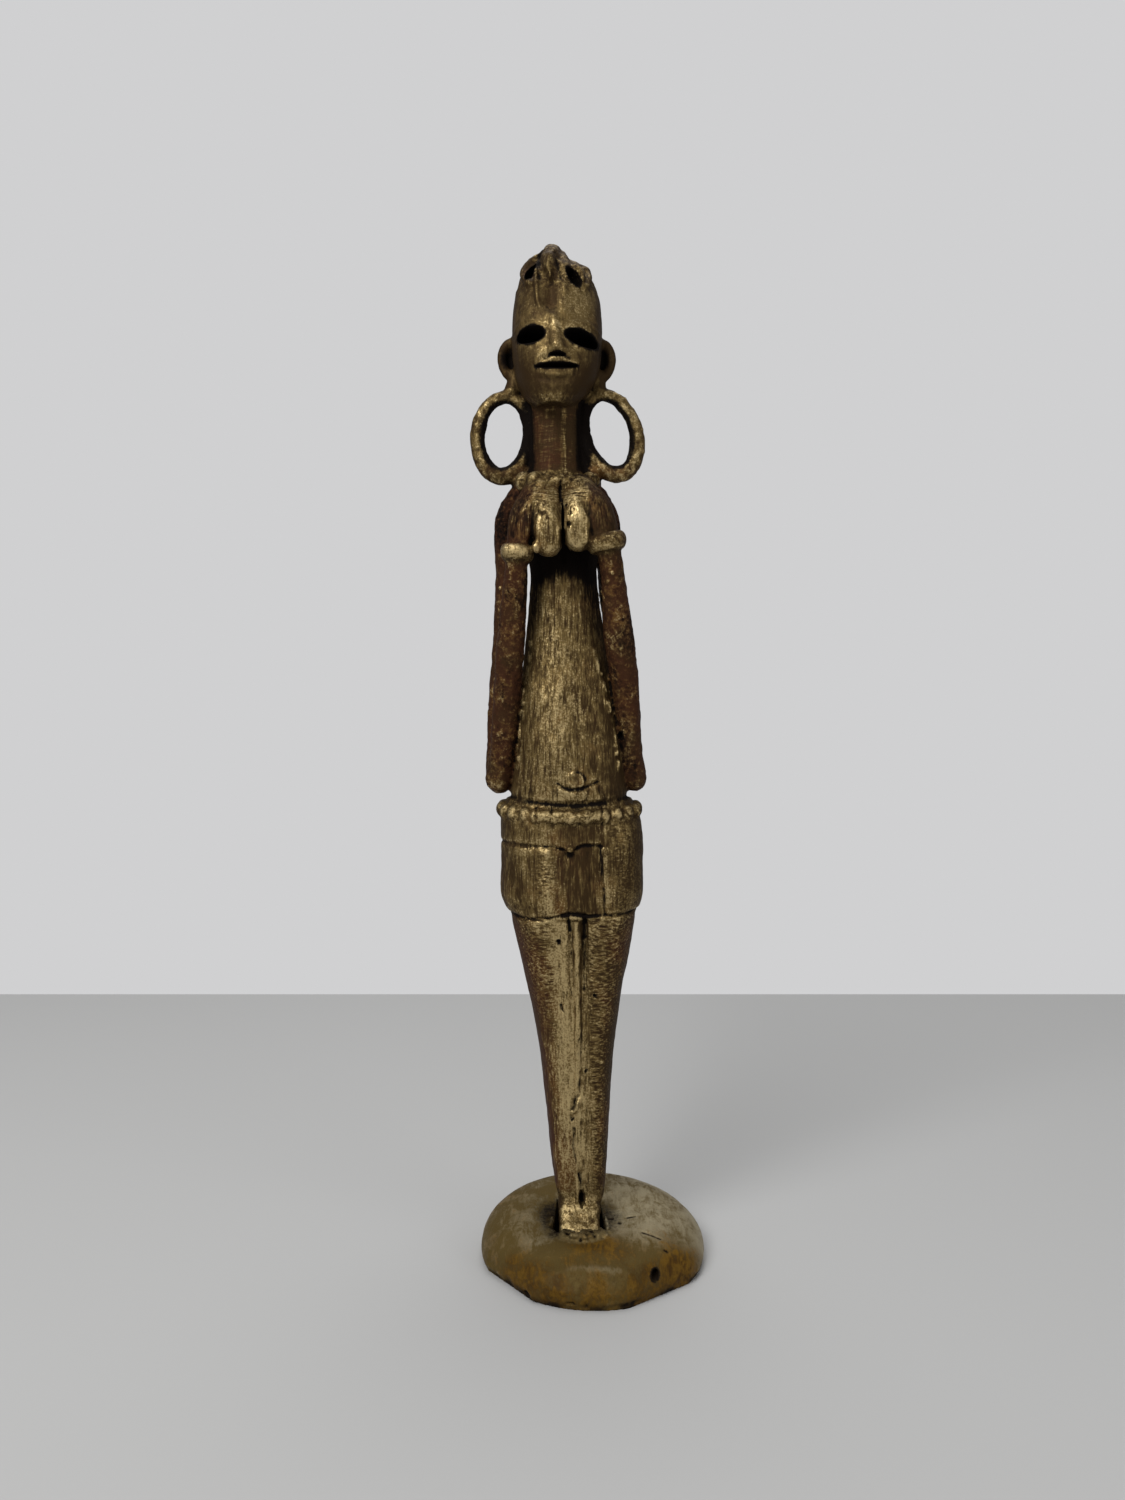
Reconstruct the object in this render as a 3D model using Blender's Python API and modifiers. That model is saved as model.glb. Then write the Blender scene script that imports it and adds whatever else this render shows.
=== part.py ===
"""Cast brass statuette of a slender woman, brazed into a socket in a pebble-shaped base.

Metres, +Z up, the figure facing -Y. The origin is the centre of the base's flat underside.
"""
import math

import bmesh
import bpy
from mathutils import Matrix, Vector

# Driving sizes in metres
FIGURE_HEIGHT = 0.2160      # soles to the tip of the crest
BASE_WIDTH = 0.0496         # along X, at the widest line of the rim
BASE_DEPTH = 0.0508         # along Y
BASE_HEIGHT = 0.0102        # crown over the underside, before the dish is sunk
RIM_HEIGHT = 0.0017         # widest line of the rim over the underside
RIM_UNDERCUT = 0.0004       # how far the rim draws in below its widest line
FLAT_DEPTH = 0.0013         # how far the two worn flats cut into the round outline
CROWN_RISE = 0.0026         # how much higher the crown stands at the back than at the front
CROWN_SLANT = 0.0016        # and at the left than at the right
DISH_RADIUS = 0.0105        # the shallow dish around the feet
DISH_DEPTH = 0.0021
SOCKET_FLOOR = 0.0037       # floor of the feet's socket over the underside
SOCKET_SIDE_GAP = 0.0008    # open slot left on each side of the feet
FIT_GAP = 0.0003            # clearance between the feet and the base
BRAZE_RADIUS = 0.0012       # thickness of the rough braze bead in front of the toes
PIT_RADIUS = 0.0010         # casting hole low in the front of the rim
PIT_DEPTH = 0.0016
FIGURE_X = -0.0031          # where the feet stand on the base
FIGURE_Y = 0.0

# The figure is drawn on a ruler of 216 parts from the soles to the tip of the crest
RULER = 216
PART = FIGURE_HEIGHT / RULER
LEAN = 0.0245               # parts the body drifts sideways for each part of height
LEAN_FROM = 8               # the ankles, where the drift starts
GRAIN = 0.44 * PART         # cell in which the wax forms flow together
FIGURE_FACETS = 8200
BASE_SIDES = 56
BASE_RINGS = 9
CROWN_SPREAD = 0.55         # the pebble's profile: out = sin(turn) ** spread, up = cos(turn) ** share
CROWN_SHARE = 0.9


def new_material(name, color, roughness):
    material = bpy.data.materials.new(name)
    material.use_nodes = True
    shader = material.node_tree.nodes["Principled BSDF"]
    shader.inputs["Base Color"].default_value = (*color, 1.0)
    shader.inputs["Roughness"].default_value = roughness
    shader.inputs["Metallic"].default_value = 1.0
    return material


def new_object(name, mesh, collection, cutter=False):
    thing = bpy.data.objects.new(name, mesh)
    collection.objects.link(thing)
    if cutter:
        thing.hide_render = True
        thing.display_type = "WIRE"
    return thing


def smooth_rows(rows, steps):
    """Catmull-Rom curve through rows of numbers, each stretch cut in steps."""
    result = []
    for i in range(len(rows) - 1):
        before, here = rows[max(i - 1, 0)], rows[i]
        there, after = rows[i + 1], rows[min(i + 2, len(rows) - 1)]
        for k in range(steps):
            t = k / steps
            result.append([
                b + 0.5 * t * (c - a + t * (2 * a - 5 * b + 4 * c - d + t * (3 * (b - c) + d - a)))
                for a, b, c, d in zip(before, here, there, after)])
    result.append(list(rows[-1]))
    return result


def lean(x, y, z):
    """A point of the upright figure, in ruler parts, moved to the leaning one, in metres."""
    return Vector((x - LEAN * (z - LEAN_FROM), y, z)) * PART


def power(value, exponent):
    return math.copysign(abs(value) ** exponent, value)


def loft(wax, sections, sides=36, steps=4, relief=None):
    """Closed skin through level sections: z, x, y, half width, half depth, squareness.

    relief(angle, z) gives a share by which the section swells or sinks there.
    """
    rings = []
    for z, x, y, wide, deep, square in smooth_rows(sections, steps):
        ring = []
        for k in range(sides):
            angle = 2 * math.pi * k / sides
            swell = 1 + (relief(angle, z) if relief else 0)
            px = x + wide * swell * power(math.cos(angle), 2 / square)
            py = y + deep * swell * power(math.sin(angle), 2 / square)
            ring.append(wax.verts.new(lean(px, py, z)))
        rings.append(ring)
    for low, high in zip(rings, rings[1:]):
        for k in range(sides):
            n = (k + 1) % sides
            wax.faces.new((low[k], low[n], high[n], high[k]))
    wax.faces.new(rings[0][::-1])
    wax.faces.new(rings[-1])


def lump(wax, x, y, z, wide, deep, high, turn=0.0):
    """Ellipsoid of wax; turn tilts it in the frontal plane, in degrees."""
    matrix = (Matrix.Translation(lean(x, y, z))
              @ Matrix.Rotation(math.radians(turn), 4, "Y")
              @ Matrix.Diagonal((wide * PART, deep * PART, high * PART, 1)))
    bmesh.ops.create_uvsphere(wax, u_segments=20, v_segments=12, radius=1, matrix=matrix)


def oval(x, y, z, wide, high, turn=0.0, start=0, end=360, count=12):
    """Points of an upright oval seen from the front; angles run from +X over the top."""
    closed = end - start >= 360
    points = []
    for k in range(count):
        a = math.radians(start + (end - start) * k / (count if closed else count - 1))
        u, v = wide * math.cos(a), high * math.sin(a)
        c, s = math.cos(math.radians(turn)), math.sin(math.radians(turn))
        points.append((x + u * c - v * s, y, z + u * s + v * c))
    return points


def wires_mesh(wires):
    """Round wax wires: each is (points, radius or radii, closed), all in ruler parts."""
    curve = bpy.data.curves.new("wires", "CURVE")
    curve.dimensions = "3D"
    curve.bevel_depth = PART
    curve.bevel_resolution = 3
    curve.resolution_u = 4
    curve.use_fill_caps = True
    for points, radii, closed in wires:
        spline = curve.splines.new("BEZIER")
        spline.bezier_points.add(len(points) - 1)
        spline.use_cyclic_u = closed
        for k, (node, place) in enumerate(zip(spline.bezier_points, points)):
            node.co = lean(*place)
            node.handle_left_type = node.handle_right_type = "AUTO"
            node.radius = radii if isinstance(radii, (int, float)) else radii[k]
    holder = bpy.data.objects.new("wires", curve)
    bpy.context.scene.collection.objects.link(holder)
    graph = bpy.context.evaluated_depsgraph_get()
    mesh = bpy.data.meshes.new_from_object(holder.evaluated_get(graph))
    bpy.data.objects.remove(holder)
    bpy.data.curves.remove(curve)
    return mesh


def ball_ends(wax, path):
    """Round both ends of a tapering wire given as (x, y, z, radius) rows."""
    for x, y, z, radius in (path[0], path[-1]):
        lump(wax, x, y, z, radius, radius, radius)


def limb(path):
    return [row[:3] for row in path], [row[3] for row in path], False


# Arms as x, y, z, radius: down behind from the shoulder to the elbow, then up in front
LEFT_UPPER = [(-8.5, 1.2, 162.4, 3.4), (-11.3, 2.8, 158.6, 3.2), (-12.2, 3.6, 153, 2.9),
              (-12.4, 3.7, 146, 2.6), (-13.4, 3.6, 132, 2.6), (-14.6, 3.0, 119, 2.6),
              (-15.2, 1.9, 108, 2.7), (-15.1, 0.4, 102.0, 3.0)]
RIGHT_UPPER = [(6.9, 1.2, 162.3, 3.4), (9.4, 2.8, 158.0, 3.1), (9.8, 3.6, 152, 2.9),
               (10.2, 3.7, 146, 2.8), (11.6, 3.6, 132, 2.9), (13.0, 3.0, 119, 2.7),
               (13.7, 1.9, 108, 2.6), (14.1, 0.4, 102.2, 2.9)]
LEFT_FORE = [(-15.1, -0.2, 101.6, 3.0), (-14.1, -2.2, 108, 2.8), (-12.9, -4.2, 119, 2.9),
             (-11.5, -6.3, 131.7, 3.0), (-10.0, -9.0, 145, 2.4), (-9.7, -10.2, 149.5, 2.4),
             (-9.0, -10.8, 153.5, 2.9), (-7.9, -10.0, 158, 3.0), (-6.2, -7.4, 162.5, 2.6)]
RIGHT_FORE = [(14.2, -0.2, 102.0, 3.0), (13.7, -2.2, 108, 2.5), (12.8, -4.2, 119, 2.8),
              (11.4, -6.3, 131.7, 3.2), (10.2, -9.0, 145, 2.5), (9.3, -10.2, 150.5, 2.6),
              (8.2, -10.8, 155, 3.1), (7.0, -10.0, 159, 3.0), (5.4, -7.4, 163, 2.6)]

# Both legs together as z, half width over all, half depth, backward shift
LEGS = [(5, 4.6, 4.4, 0.0), (8.3, 4.9, 4.4, 0.0), (14.5, 5.85, 4.6, 0.1), (23, 6.5, 5.1, 0.4),
        (30, 7.1, 5.8, 0.6), (41, 8.1, 6.6, 0.6), (50, 9.4, 7.2, 0.4), (58, 10.8, 8.1, 0.2),
        (66, 12.5, 9.1, 0.0), (72, 13.6, 9.8, 0.0), (79, 13.6, 9.8, 0.0)]
LEGS_X = 0.3

# The feet as one wedge-shaped block, which the base's socket follows
SOLE_HALF_WIDTH = 4.6
SOLE_HALF_LENGTH = 6.6
SOLE_Y = -2.3


def feet(wax):
    loft(wax, [(0, 0, SOLE_Y, SOLE_HALF_WIDTH - 0.1, SOLE_HALF_LENGTH, 6),
               (4, 0, SOLE_Y, SOLE_HALF_WIDTH - 0.1, SOLE_HALF_LENGTH, 6),
               (6.4, 0, -1.2, SOLE_HALF_WIDTH - 0.1, 5.5, 5),
               (10, 0.1, 0, SOLE_HALF_WIDTH, 4.3, 3)], steps=2)


def legs(wax):
    """Two tapering legs and the web of metal that fills the groove between them."""
    for side in (-1, 1):
        loft(wax, [(z, LEGS_X + side * 0.46 * wide, back, 0.54 * wide, deep, 2.2)
                   for z, wide, deep, back in LEGS], sides=28)
    loft(wax, [(z, LEGS_X, back, 0.40 * wide, 0.88 * deep, 2.6)
               for z, wide, deep, back in LEGS], sides=28)


def skirt_fold(angle, z):
    """The wrap's open front: a sunk panel between the left fold and the lapped right edge."""
    across = math.cos(angle)
    if math.sin(angle) > 0 or z > 87.6:
        return 0.0
    return -0.075 if -0.10 < across < 0.33 else 0.0


def skirt(wax):
    loft(wax, [(71.7, 0.1, 0, 13.9, 10.1, 2.4), (72.5, 0.1, 0, 15.0, 10.9, 2.4),
               (77.2, 0.1, 0, 15.7, 11.4, 2.5), (83.5, 0.3, 0, 15.5, 11.2, 2.5),
               (87.0, 0.4, 0, 15.3, 11.0, 2.5), (88.0, 0.4, 0, 14.7, 10.4, 2.5),
               (89.0, 0.4, 0, 15.5, 11.0, 2.5), (93.4, 0.3, 0, 15.4, 10.9, 2.4),
               (95.4, 0.2, 0, 14.6, 10.4, 2.3), (96.6, 0.2, 0, 13.4, 9.7, 2.2)],
         sides=96, steps=3, relief=skirt_fold)
    for side in (-1, 1):
        lump(wax, 0.3 + side * 6.4, 4.6, 80.5, 7.4, 7.8, 8.6)


def bead_row(wax, x, y, z, wide, deep, radius, count, sag):
    """A closed string of beads lying level around the body, sagging at the front."""
    for k in range(count):
        a = 2 * math.pi * (k + 0.5) / count
        drop = sag * max(0.0, -math.sin(a))
        lump(wax, x + wide * math.cos(a), y + deep * math.sin(a), z - drop,
             radius, radius, radius * 1.06)


def trunk(wax):
    """Belly, narrow waist, chest and neck in one tapering form."""
    loft(wax, [(93, 0.1, 0, 13.6, 9.6, 2.2), (97.2, 0.0, 0, 13.8, 9.7, 2.2),
               (99.4, 0.0, -0.3, 12.7, 9.4, 2.2), (108.3, 0.2, -0.4, 11.6, 8.9, 2.2),
               (119, 0.0, -0.2, 10.6, 7.9, 2.2), (129.6, 0.1, 0, 9.0, 6.8, 2.2),
               (140.2, 0, 0, 7.6, 5.9, 2.2), (147.6, 0, 0.1, 7.3, 5.6, 2.3), (153.5, -0.4, 0.5, 9.0, 5.8, 2.5),
               (159, -0.7, 0.5, 10.0, 5.8, 2.5), (162.8, -0.8, 0.3, 8.9, 5.6, 2.3),
               (165.6, -0.9, 0, 7.2, 5.4, 2.1), (168.3, -1.0, 0, 6.0, 5.3, 2),
               (172, -1.1, 0, 5.4, 5.2, 2), (177, -1.1, 0, 5.3, 5.2, 2),
               (184, -1.0, -0.5, 5.4, 5.2, 2)])


def head(wax):
    loft(wax, [(180.6, -1.5, -4.9, 3.4, 5.0, 2), (182.8, -1.2, -3.5, 6.0, 7.3, 2.1),
               (186, -0.7, -2.4, 8.0, 8.8, 2.2), (190, -0.4, -1.7, 9.2, 9.6, 2.3),
               (195, -0.25, -1.0, 9.6, 9.8, 2.3), (199.3, -0.1, -0.5, 9.6, 9.6, 2.2),
               (204, 0.0, -0.2, 9.0, 8.9, 2.1), (208, -0.1, 0, 7.8, 7.6, 2),
               (211, -0.4, 0.2, 5.7, 5.8, 2), (212.8, -0.4, 0.3, 3.2, 3.4, 2)], sides=40)
    for side in (-1, 1):
        lump(wax, -0.35 + side * 1.3, -10.9, 190.6, 0.9, 0.9, 0.8)
        lump(wax, 0.0 + side * 9.4, 1.4, 192.0, 2.0, 0.9, 3.4)


def breasts(wax):
    for side, tip in ((-1, 151.1), (1, 152.2)):
        path = [(side * 2.6, -3.6, 162.2, 2.9), (side * 2.9, -7.6, 159.4, 3.4),
                (side * 3.0, -10.4, tip + 3.0, 3.3), (side * 2.9, -10.9, tip + 0.2, 2.8)]
        ball_ends(wax, path)
        yield limb(path)


def arms(wax):
    for path in (LEFT_UPPER, RIGHT_UPPER, LEFT_FORE, RIGHT_FORE):
        ball_ends(wax, path)
        yield limb(path)


def ring_about(x, y, z, radius, tilt):
    """Points of a level ring round a wrist, tilted in the frontal plane."""
    points = []
    for k in range(8):
        a = 2 * math.pi * k / 8
        rise = math.tan(math.radians(tilt)) * radius * math.cos(a)
        points.append((x + radius * math.cos(a), y + radius * math.sin(a), z + rise))
    return points


def ornaments():
    """Hoop earrings, ear curls, bracelets, navel ring, hair and the seam down the legs."""
    hoop = [1.6 - 0.25 * math.sin(math.radians(30 * k)) for k in range(12)]
    yield oval(-12.2, 0, 175.6, 5.6, 8.5, turn=-7), hoop, True
    yield oval(10.7, 0, 176.0, 5.6, 8.6, turn=14), hoop, True
    yield [(-7.2, 0.2, 166.6), (-9.2, 0.1, 168.2)], 1.8, False
    yield [(5.2, 0.2, 166.8), (7.4, 0.1, 168.4)], 1.8, False
    yield oval(-9.4, 0.2, 192.0, 2.9, 3.9, start=60, end=300, count=9), 0.95, False
    yield oval(8.6, 0.2, 191.8, 2.9, 3.8, start=120, end=-120, count=9), 0.95, False
    yield [(-9.0, 0.2, 188.6), (-10.2, 0.1, 185.0)], 1.7, False
    yield [(8.6, 0.2, 188.4), (8.6, 0.1, 185.4)], 1.5, False
    for edge in (-0.6, 0.6):
        yield ring_about(-9.6, -10.0, 149.4 + edge, 2.3, -3), 1.3, True
        yield ring_about(9.1, -10.1, 151.5 + edge, 2.8, 12), 1.3, True
    yield oval(1.6, -9.5, 102.5, 1.6, 1.6, count=8), 0.6, True
    yield [(1.0, -8.9, 72), (0.7, -6.9, 50), (0.4, -6.0, 40), (0.2, -5.0, 28),
           (0.1, -4.3, 15), (0.1, -4.4, 9)], 0.95, False
    crest = [(-1.5, -8.9, 200.6, 1.5), (-1.4, -8.3, 204.5, 2.2), (-1.2, -6.5, 209.0, 2.4),
             (-1.1, -3.5, 212.4, 2.5), (-1.0, -0.3, 213.4, 2.3), (-1.0, 3.2, 211.8, 2.2),
             (-0.8, 6.6, 207.6, 1.9), (-0.6, 8.6, 202.0, 1.4)]
    yield limb(crest)
    yield oval(-4.9, -2.8, 208.9, 1.3, 2.6, turn=-36, count=8), 1.0, True
    yield oval(3.2, -3.0, 208.6, 1.9, 2.1, turn=40, count=8), 1.0, True
    yield limb([(-0.3, -9.7, 197.0, 1.1), (-0.3, -10.8, 193.0, 1.2), (-0.4, -11.3, 190.8, 1.5)])
    yield [(-5.4, -9.9, 187.6), (-2.8, -11.2, 188.9), (-0.8, -11.5, 189.1), (1.4, -11.3, 188.8),
           (4.0, -10.1, 187.8)], 0.6, False
    yield [(-5.0, -9.9, 186.9), (-0.8, -11.4, 185.9), (3.6, -10.1, 187.0)], 0.8, False


def wax_figure():
    """Every form of the figure in one mesh of overlapping closed skins."""
    wax = bmesh.new()
    feet(wax)
    legs(wax)
    skirt(wax)
    trunk(wax)
    head(wax)
    bead_row(wax, 0.2, 0, 95.5, 14.6, 10.7, 1.65, 26, 0.9)
    bead_row(wax, -0.75, -0.3, 166.0, 8.3, 7.4, 1.55, 18, 0.9)
    wires = [*breasts(wax), *arms(wax), *ornaments()]
    wax.from_mesh(wires_mesh(wires))
    bmesh.ops.remove_doubles(wax, verts=wax.verts, dist=0.00001)
    mesh = bpy.data.meshes.new("figure")
    wax.to_mesh(mesh)
    wax.free()
    return mesh


def carving_mesh():
    """Hollows of the figure: eyes, mouth, forehead, hair loops, chest slit and ankle slot."""
    cut = bmesh.new()
    lump(cut, -5.6, -11.2, 194.2, 3.3, 4.6, 2.1)
    lump(cut, 5.2, -11.2, 193.4, 3.9, 4.6, 2.1, turn=11)
    lump(cut, -0.8, -12.0, 187.5, 4.6, 3.2, 0.75)
    lump(cut, 0.1, -13.6, 156.0, 0.34, 3.6, 9.0)
    lump(cut, -1.3, -11.3, 201.5, 1.9, 1.8, 3.1)
    lump(cut, -5.6, -6.2, 208.2, 0.8, 3.4, 2.0, turn=24)
    lump(cut, 3.3, -8.6, 206.9, 0.9, 3.0, 2.3, turn=-28)
    lump(cut, 0.95, -5.0, 9.2, 0.75, 1.5, 2.3)
    mesh = bpy.data.meshes.new("figure_hollows")
    cut.to_mesh(mesh)
    cut.free()
    return mesh


def make_figure(parts, cutters):
    figure = new_object("figure", wax_figure(), parts)
    figure.data.materials.append(new_material("patinated_brass", (0.30, 0.22, 0.11), 0.42))
    hollows = new_object("figure_hollows", carving_mesh(), cutters, cutter=True)
    place = (FIGURE_X, FIGURE_Y, SOCKET_FLOOR + FIT_GAP)
    figure.location = place
    hollows.location = place

    flow = figure.modifiers.new("flow_together", "REMESH")
    flow.mode = "VOXEL"
    flow.voxel_size = GRAIN
    flow.use_smooth_shade = True
    soften = figure.modifiers.new("soften", "SMOOTH")
    soften.factor = 0.5
    soften.iterations = 2
    carve = figure.modifiers.new("carve", "BOOLEAN")
    carve.operation = "DIFFERENCE"
    carve.object = hollows

    graph = bpy.context.evaluated_depsgraph_get()
    evaluated = figure.evaluated_get(graph)
    fine = evaluated.to_mesh()
    fine_facets = sum(len(face.vertices) - 2 for face in fine.polygons)
    evaluated.to_mesh_clear()
    thin = figure.modifiers.new("facets", "DECIMATE")
    thin.ratio = min(1.0, FIGURE_FACETS / fine_facets)
    thin.use_collapse_triangulate = True
    return figure


def rim_point(angle):
    """The base's round outline with its two worn flats, as a distance from the centre."""
    half_width, half_depth = BASE_WIDTH / 2, BASE_DEPTH / 2
    reach = 1 / math.hypot(math.cos(angle) / half_width, math.sin(angle) / half_depth)
    for facing in (219, -54):
        off = angle - math.radians(facing)
        flat = (half_width + half_depth) / 2 - FLAT_DEPTH
        if math.cos(off) > 0.5:
            reach = min(reach, flat / math.cos(off))
    return reach


def base_top(x, y, share):
    """Height of the base's upper skin; share runs from 1 at the crown to 0 at the rim."""
    crown = BASE_HEIGHT + CROWN_RISE * y / BASE_DEPTH - CROWN_SLANT * x / BASE_WIDTH
    away = math.hypot(x - FIGURE_X, y - (FIGURE_Y + SOLE_Y * PART))
    dish = DISH_DEPTH * math.exp(-(away / DISH_RADIUS) ** 2)
    return RIM_HEIGHT + (crown - RIM_HEIGHT) * share - dish * share


def pebble_mesh():
    """The base without its socket: a flat underside and a swelling, dished top."""
    stone = bmesh.new()
    rings = []
    for k in range(1, BASE_RINGS + 1):
        turn = 0.5 * math.pi * k / BASE_RINGS
        out, share = math.sin(turn) ** CROWN_SPREAD, math.cos(turn) ** CROWN_SHARE
        ring = []
        for j in range(BASE_SIDES):
            angle = 2 * math.pi * j / BASE_SIDES
            reach = rim_point(angle) * out
            x, y = reach * math.cos(angle), reach * math.sin(angle)
            ring.append(stone.verts.new((x, y, base_top(x, y, share))))
        rings.append(ring)
    foot = []
    for j in range(BASE_SIDES):
        angle = 2 * math.pi * j / BASE_SIDES
        reach = rim_point(angle) - RIM_UNDERCUT
        foot.append(stone.verts.new((reach * math.cos(angle), reach * math.sin(angle), 0)))
    rings.append(foot)
    crown = stone.verts.new((0, 0, base_top(0, 0, 1)))
    for j in range(BASE_SIDES):
        n = (j + 1) % BASE_SIDES
        stone.faces.new((crown, rings[0][j], rings[0][n]))
        for high, low in zip(rings, rings[1:]):
            stone.faces.new((high[j], low[j], low[n], high[n]))
    stone.faces.new(foot[::-1])
    mesh = bpy.data.meshes.new("base")
    stone.to_mesh(mesh)
    stone.free()
    return mesh


def sole_box():
    """The soles in the base's frame: centre x, centre y, half width, half length."""
    return FIGURE_X, FIGURE_Y + SOLE_Y * PART, SOLE_HALF_WIDTH * PART, SOLE_HALF_LENGTH * PART


def socket_mesh():
    """Straight-sided pocket for the feet, with an open slot on each side, and the rim's pit."""
    x, y, half_width, half_length = sole_box()
    lift = BASE_HEIGHT + CROWN_RISE + CROWN_SLANT
    wide = 2 * (half_width + SOCKET_SIDE_GAP)
    long = 2 * (half_length + FIT_GAP)
    cut = bmesh.new()
    bmesh.ops.create_cube(cut, size=1, matrix=(
        Matrix.Translation((x, y, SOCKET_FLOOR + lift / 2))
        @ Matrix.Diagonal((wide, long, lift, 1))))
    angle = math.radians(-50)
    reach = rim_point(angle)
    place = Matrix.Translation((reach * math.cos(angle), reach * math.sin(angle),
                                RIM_HEIGHT + 0.3 * (BASE_HEIGHT - RIM_HEIGHT)))
    bmesh.ops.create_uvsphere(cut, u_segments=12, v_segments=8, radius=1, matrix=(
        place @ Matrix.Rotation(angle, 4, "Z")
        @ Matrix.Diagonal((PIT_DEPTH, PIT_RADIUS, PIT_RADIUS * 1.5, 1))))
    mesh = bpy.data.meshes.new("base_hollows")
    cut.to_mesh(mesh)
    cut.free()
    return mesh


def braze_mesh():
    """The lumpy bead of filler metal along the front edge of the socket."""
    x, y, half_width, half_length = sole_box()
    front = y - half_length - FIT_GAP - 1.15 * BRAZE_RADIUS
    curve = bpy.data.curves.new("braze", "CURVE")
    curve.dimensions = "3D"
    curve.bevel_depth = BRAZE_RADIUS
    curve.bevel_resolution = 2
    curve.resolution_u = 2
    curve.use_fill_caps = True
    spline = curve.splines.new("BEZIER")
    lumps = 5
    spline.bezier_points.add(lumps)
    for k, node in enumerate(spline.bezier_points):
        px = x + half_width * (2.0 * k / lumps - 0.7)
        out = math.hypot(px, front) / rim_point(math.atan2(front, px))
        share = math.sqrt(1 - out ** (2 / CROWN_SPREAD)) ** CROWN_SHARE
        node.co = (px, front, base_top(px, front, share))
        node.handle_left_type = node.handle_right_type = "AUTO"
        node.radius = 0.9 + 0.15 * math.cos(math.pi * k)
    holder = bpy.data.objects.new("braze", curve)
    bpy.context.scene.collection.objects.link(holder)
    graph = bpy.context.evaluated_depsgraph_get()
    mesh = bpy.data.meshes.new_from_object(holder.evaluated_get(graph))
    bpy.data.objects.remove(holder)
    bpy.data.curves.remove(curve)
    weld = bmesh.new()
    weld.from_mesh(mesh)
    bmesh.ops.remove_doubles(weld, verts=weld.verts, dist=0.000001)
    weld.to_mesh(mesh)
    weld.free()
    return mesh


def make_base(parts, cutters):
    base = new_object("base", pebble_mesh(), parts)
    base.data.materials.append(new_material("dull_brass", (0.20, 0.16, 0.085), 0.55))
    bead = new_object("braze_bead", braze_mesh(), cutters, cutter=True)
    hollows = new_object("base_hollows", socket_mesh(), cutters, cutter=True)
    add = base.modifiers.new("braze", "BOOLEAN")
    add.operation = "UNION"
    add.object = bead
    carve = base.modifiers.new("carve", "BOOLEAN")
    carve.operation = "DIFFERENCE"
    carve.object = hollows
    return base


def main():
    for thing in list(bpy.data.objects):
        bpy.data.objects.remove(thing, do_unlink=True)
    parts = bpy.data.collections.new("statuette")
    cutters = bpy.data.collections.new("statuette_cutters")
    bpy.context.scene.collection.children.link(parts)
    bpy.context.scene.collection.children.link(cutters)
    make_base(parts, cutters)
    make_figure(parts, cutters)


main()
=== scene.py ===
# Cast brass statuette of a slender woman, brazed into a pebble-shaped base: the finished looks
import math

import bpy
import numpy as np
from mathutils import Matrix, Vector


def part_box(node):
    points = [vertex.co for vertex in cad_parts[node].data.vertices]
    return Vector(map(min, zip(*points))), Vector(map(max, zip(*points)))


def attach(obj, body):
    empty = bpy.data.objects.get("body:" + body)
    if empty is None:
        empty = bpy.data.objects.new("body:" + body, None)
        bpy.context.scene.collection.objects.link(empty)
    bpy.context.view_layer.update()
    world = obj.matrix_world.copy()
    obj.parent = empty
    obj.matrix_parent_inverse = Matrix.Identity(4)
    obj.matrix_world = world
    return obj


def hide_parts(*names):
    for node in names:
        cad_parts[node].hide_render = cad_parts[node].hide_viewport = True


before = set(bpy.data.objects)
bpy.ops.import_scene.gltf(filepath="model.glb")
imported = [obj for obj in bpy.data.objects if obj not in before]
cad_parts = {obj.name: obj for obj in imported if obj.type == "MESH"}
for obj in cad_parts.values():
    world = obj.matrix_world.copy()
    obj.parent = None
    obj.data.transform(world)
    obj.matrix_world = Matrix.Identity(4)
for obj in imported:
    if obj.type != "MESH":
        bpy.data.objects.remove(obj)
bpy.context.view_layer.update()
print("frame loaded")

# Where the figure stands, in millimetres. Its forms are drawn upright on a ruler that counts
# millimetres up from the soles, and lean a little to the viewer's left as they rise.
stand = {
    "x": -3.1, "y": 0.0, "z": 4.0,
    "lean": 0.0245,
    "leanFrom": 8.0,
    "soleWide": 4.6, "soleLong": 6.6, "soleY": -2.3,
}


def toWorld(points):
    # upright ruler point (x, y, z) -> leaning place in metres: x loses lean * (z - leanFrom)
    x = points[..., 0] - stand["lean"] * (points[..., 2] - stand["leanFrom"])
    moved = np.stack([x + stand["x"], points[..., 1] + stand["y"], points[..., 2] + stand["z"]], -1)
    return moved / 1000


def toRuler(places):
    # the way back from metres to the upright ruler
    p = places * 1000 - np.array([stand["x"], stand["y"], stand["z"]])
    p[..., 0] += stand["lean"] * (p[..., 2] - stand["leanFrom"])
    return p


def curveThrough(rows, steps, closed=False):
    # Catmull-Rom curve through rows of numbers: every stretch is one cubic cut in equal steps
    rows = np.asarray(rows, float)
    if closed:
        ring = np.vstack([rows[-1:], rows, rows[:2]])
        count = len(rows)
    else:
        ring = np.vstack([rows[:1], rows, rows[-1:]])
        count = len(rows) - 1
    i = np.repeat(np.arange(count), steps)
    t = np.tile(np.arange(steps) / steps, count)[:, None]
    a, b, c, d = ring[i], ring[i + 1], ring[i + 2], ring[i + 3]
    curve = b + 0.5 * t * (c - a + t * (2 * a - 5 * b + 4 * c - d + t * (3 * (b - c) + d - a)))
    return curve if closed else np.vstack([curve, rows[-1:]])


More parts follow.
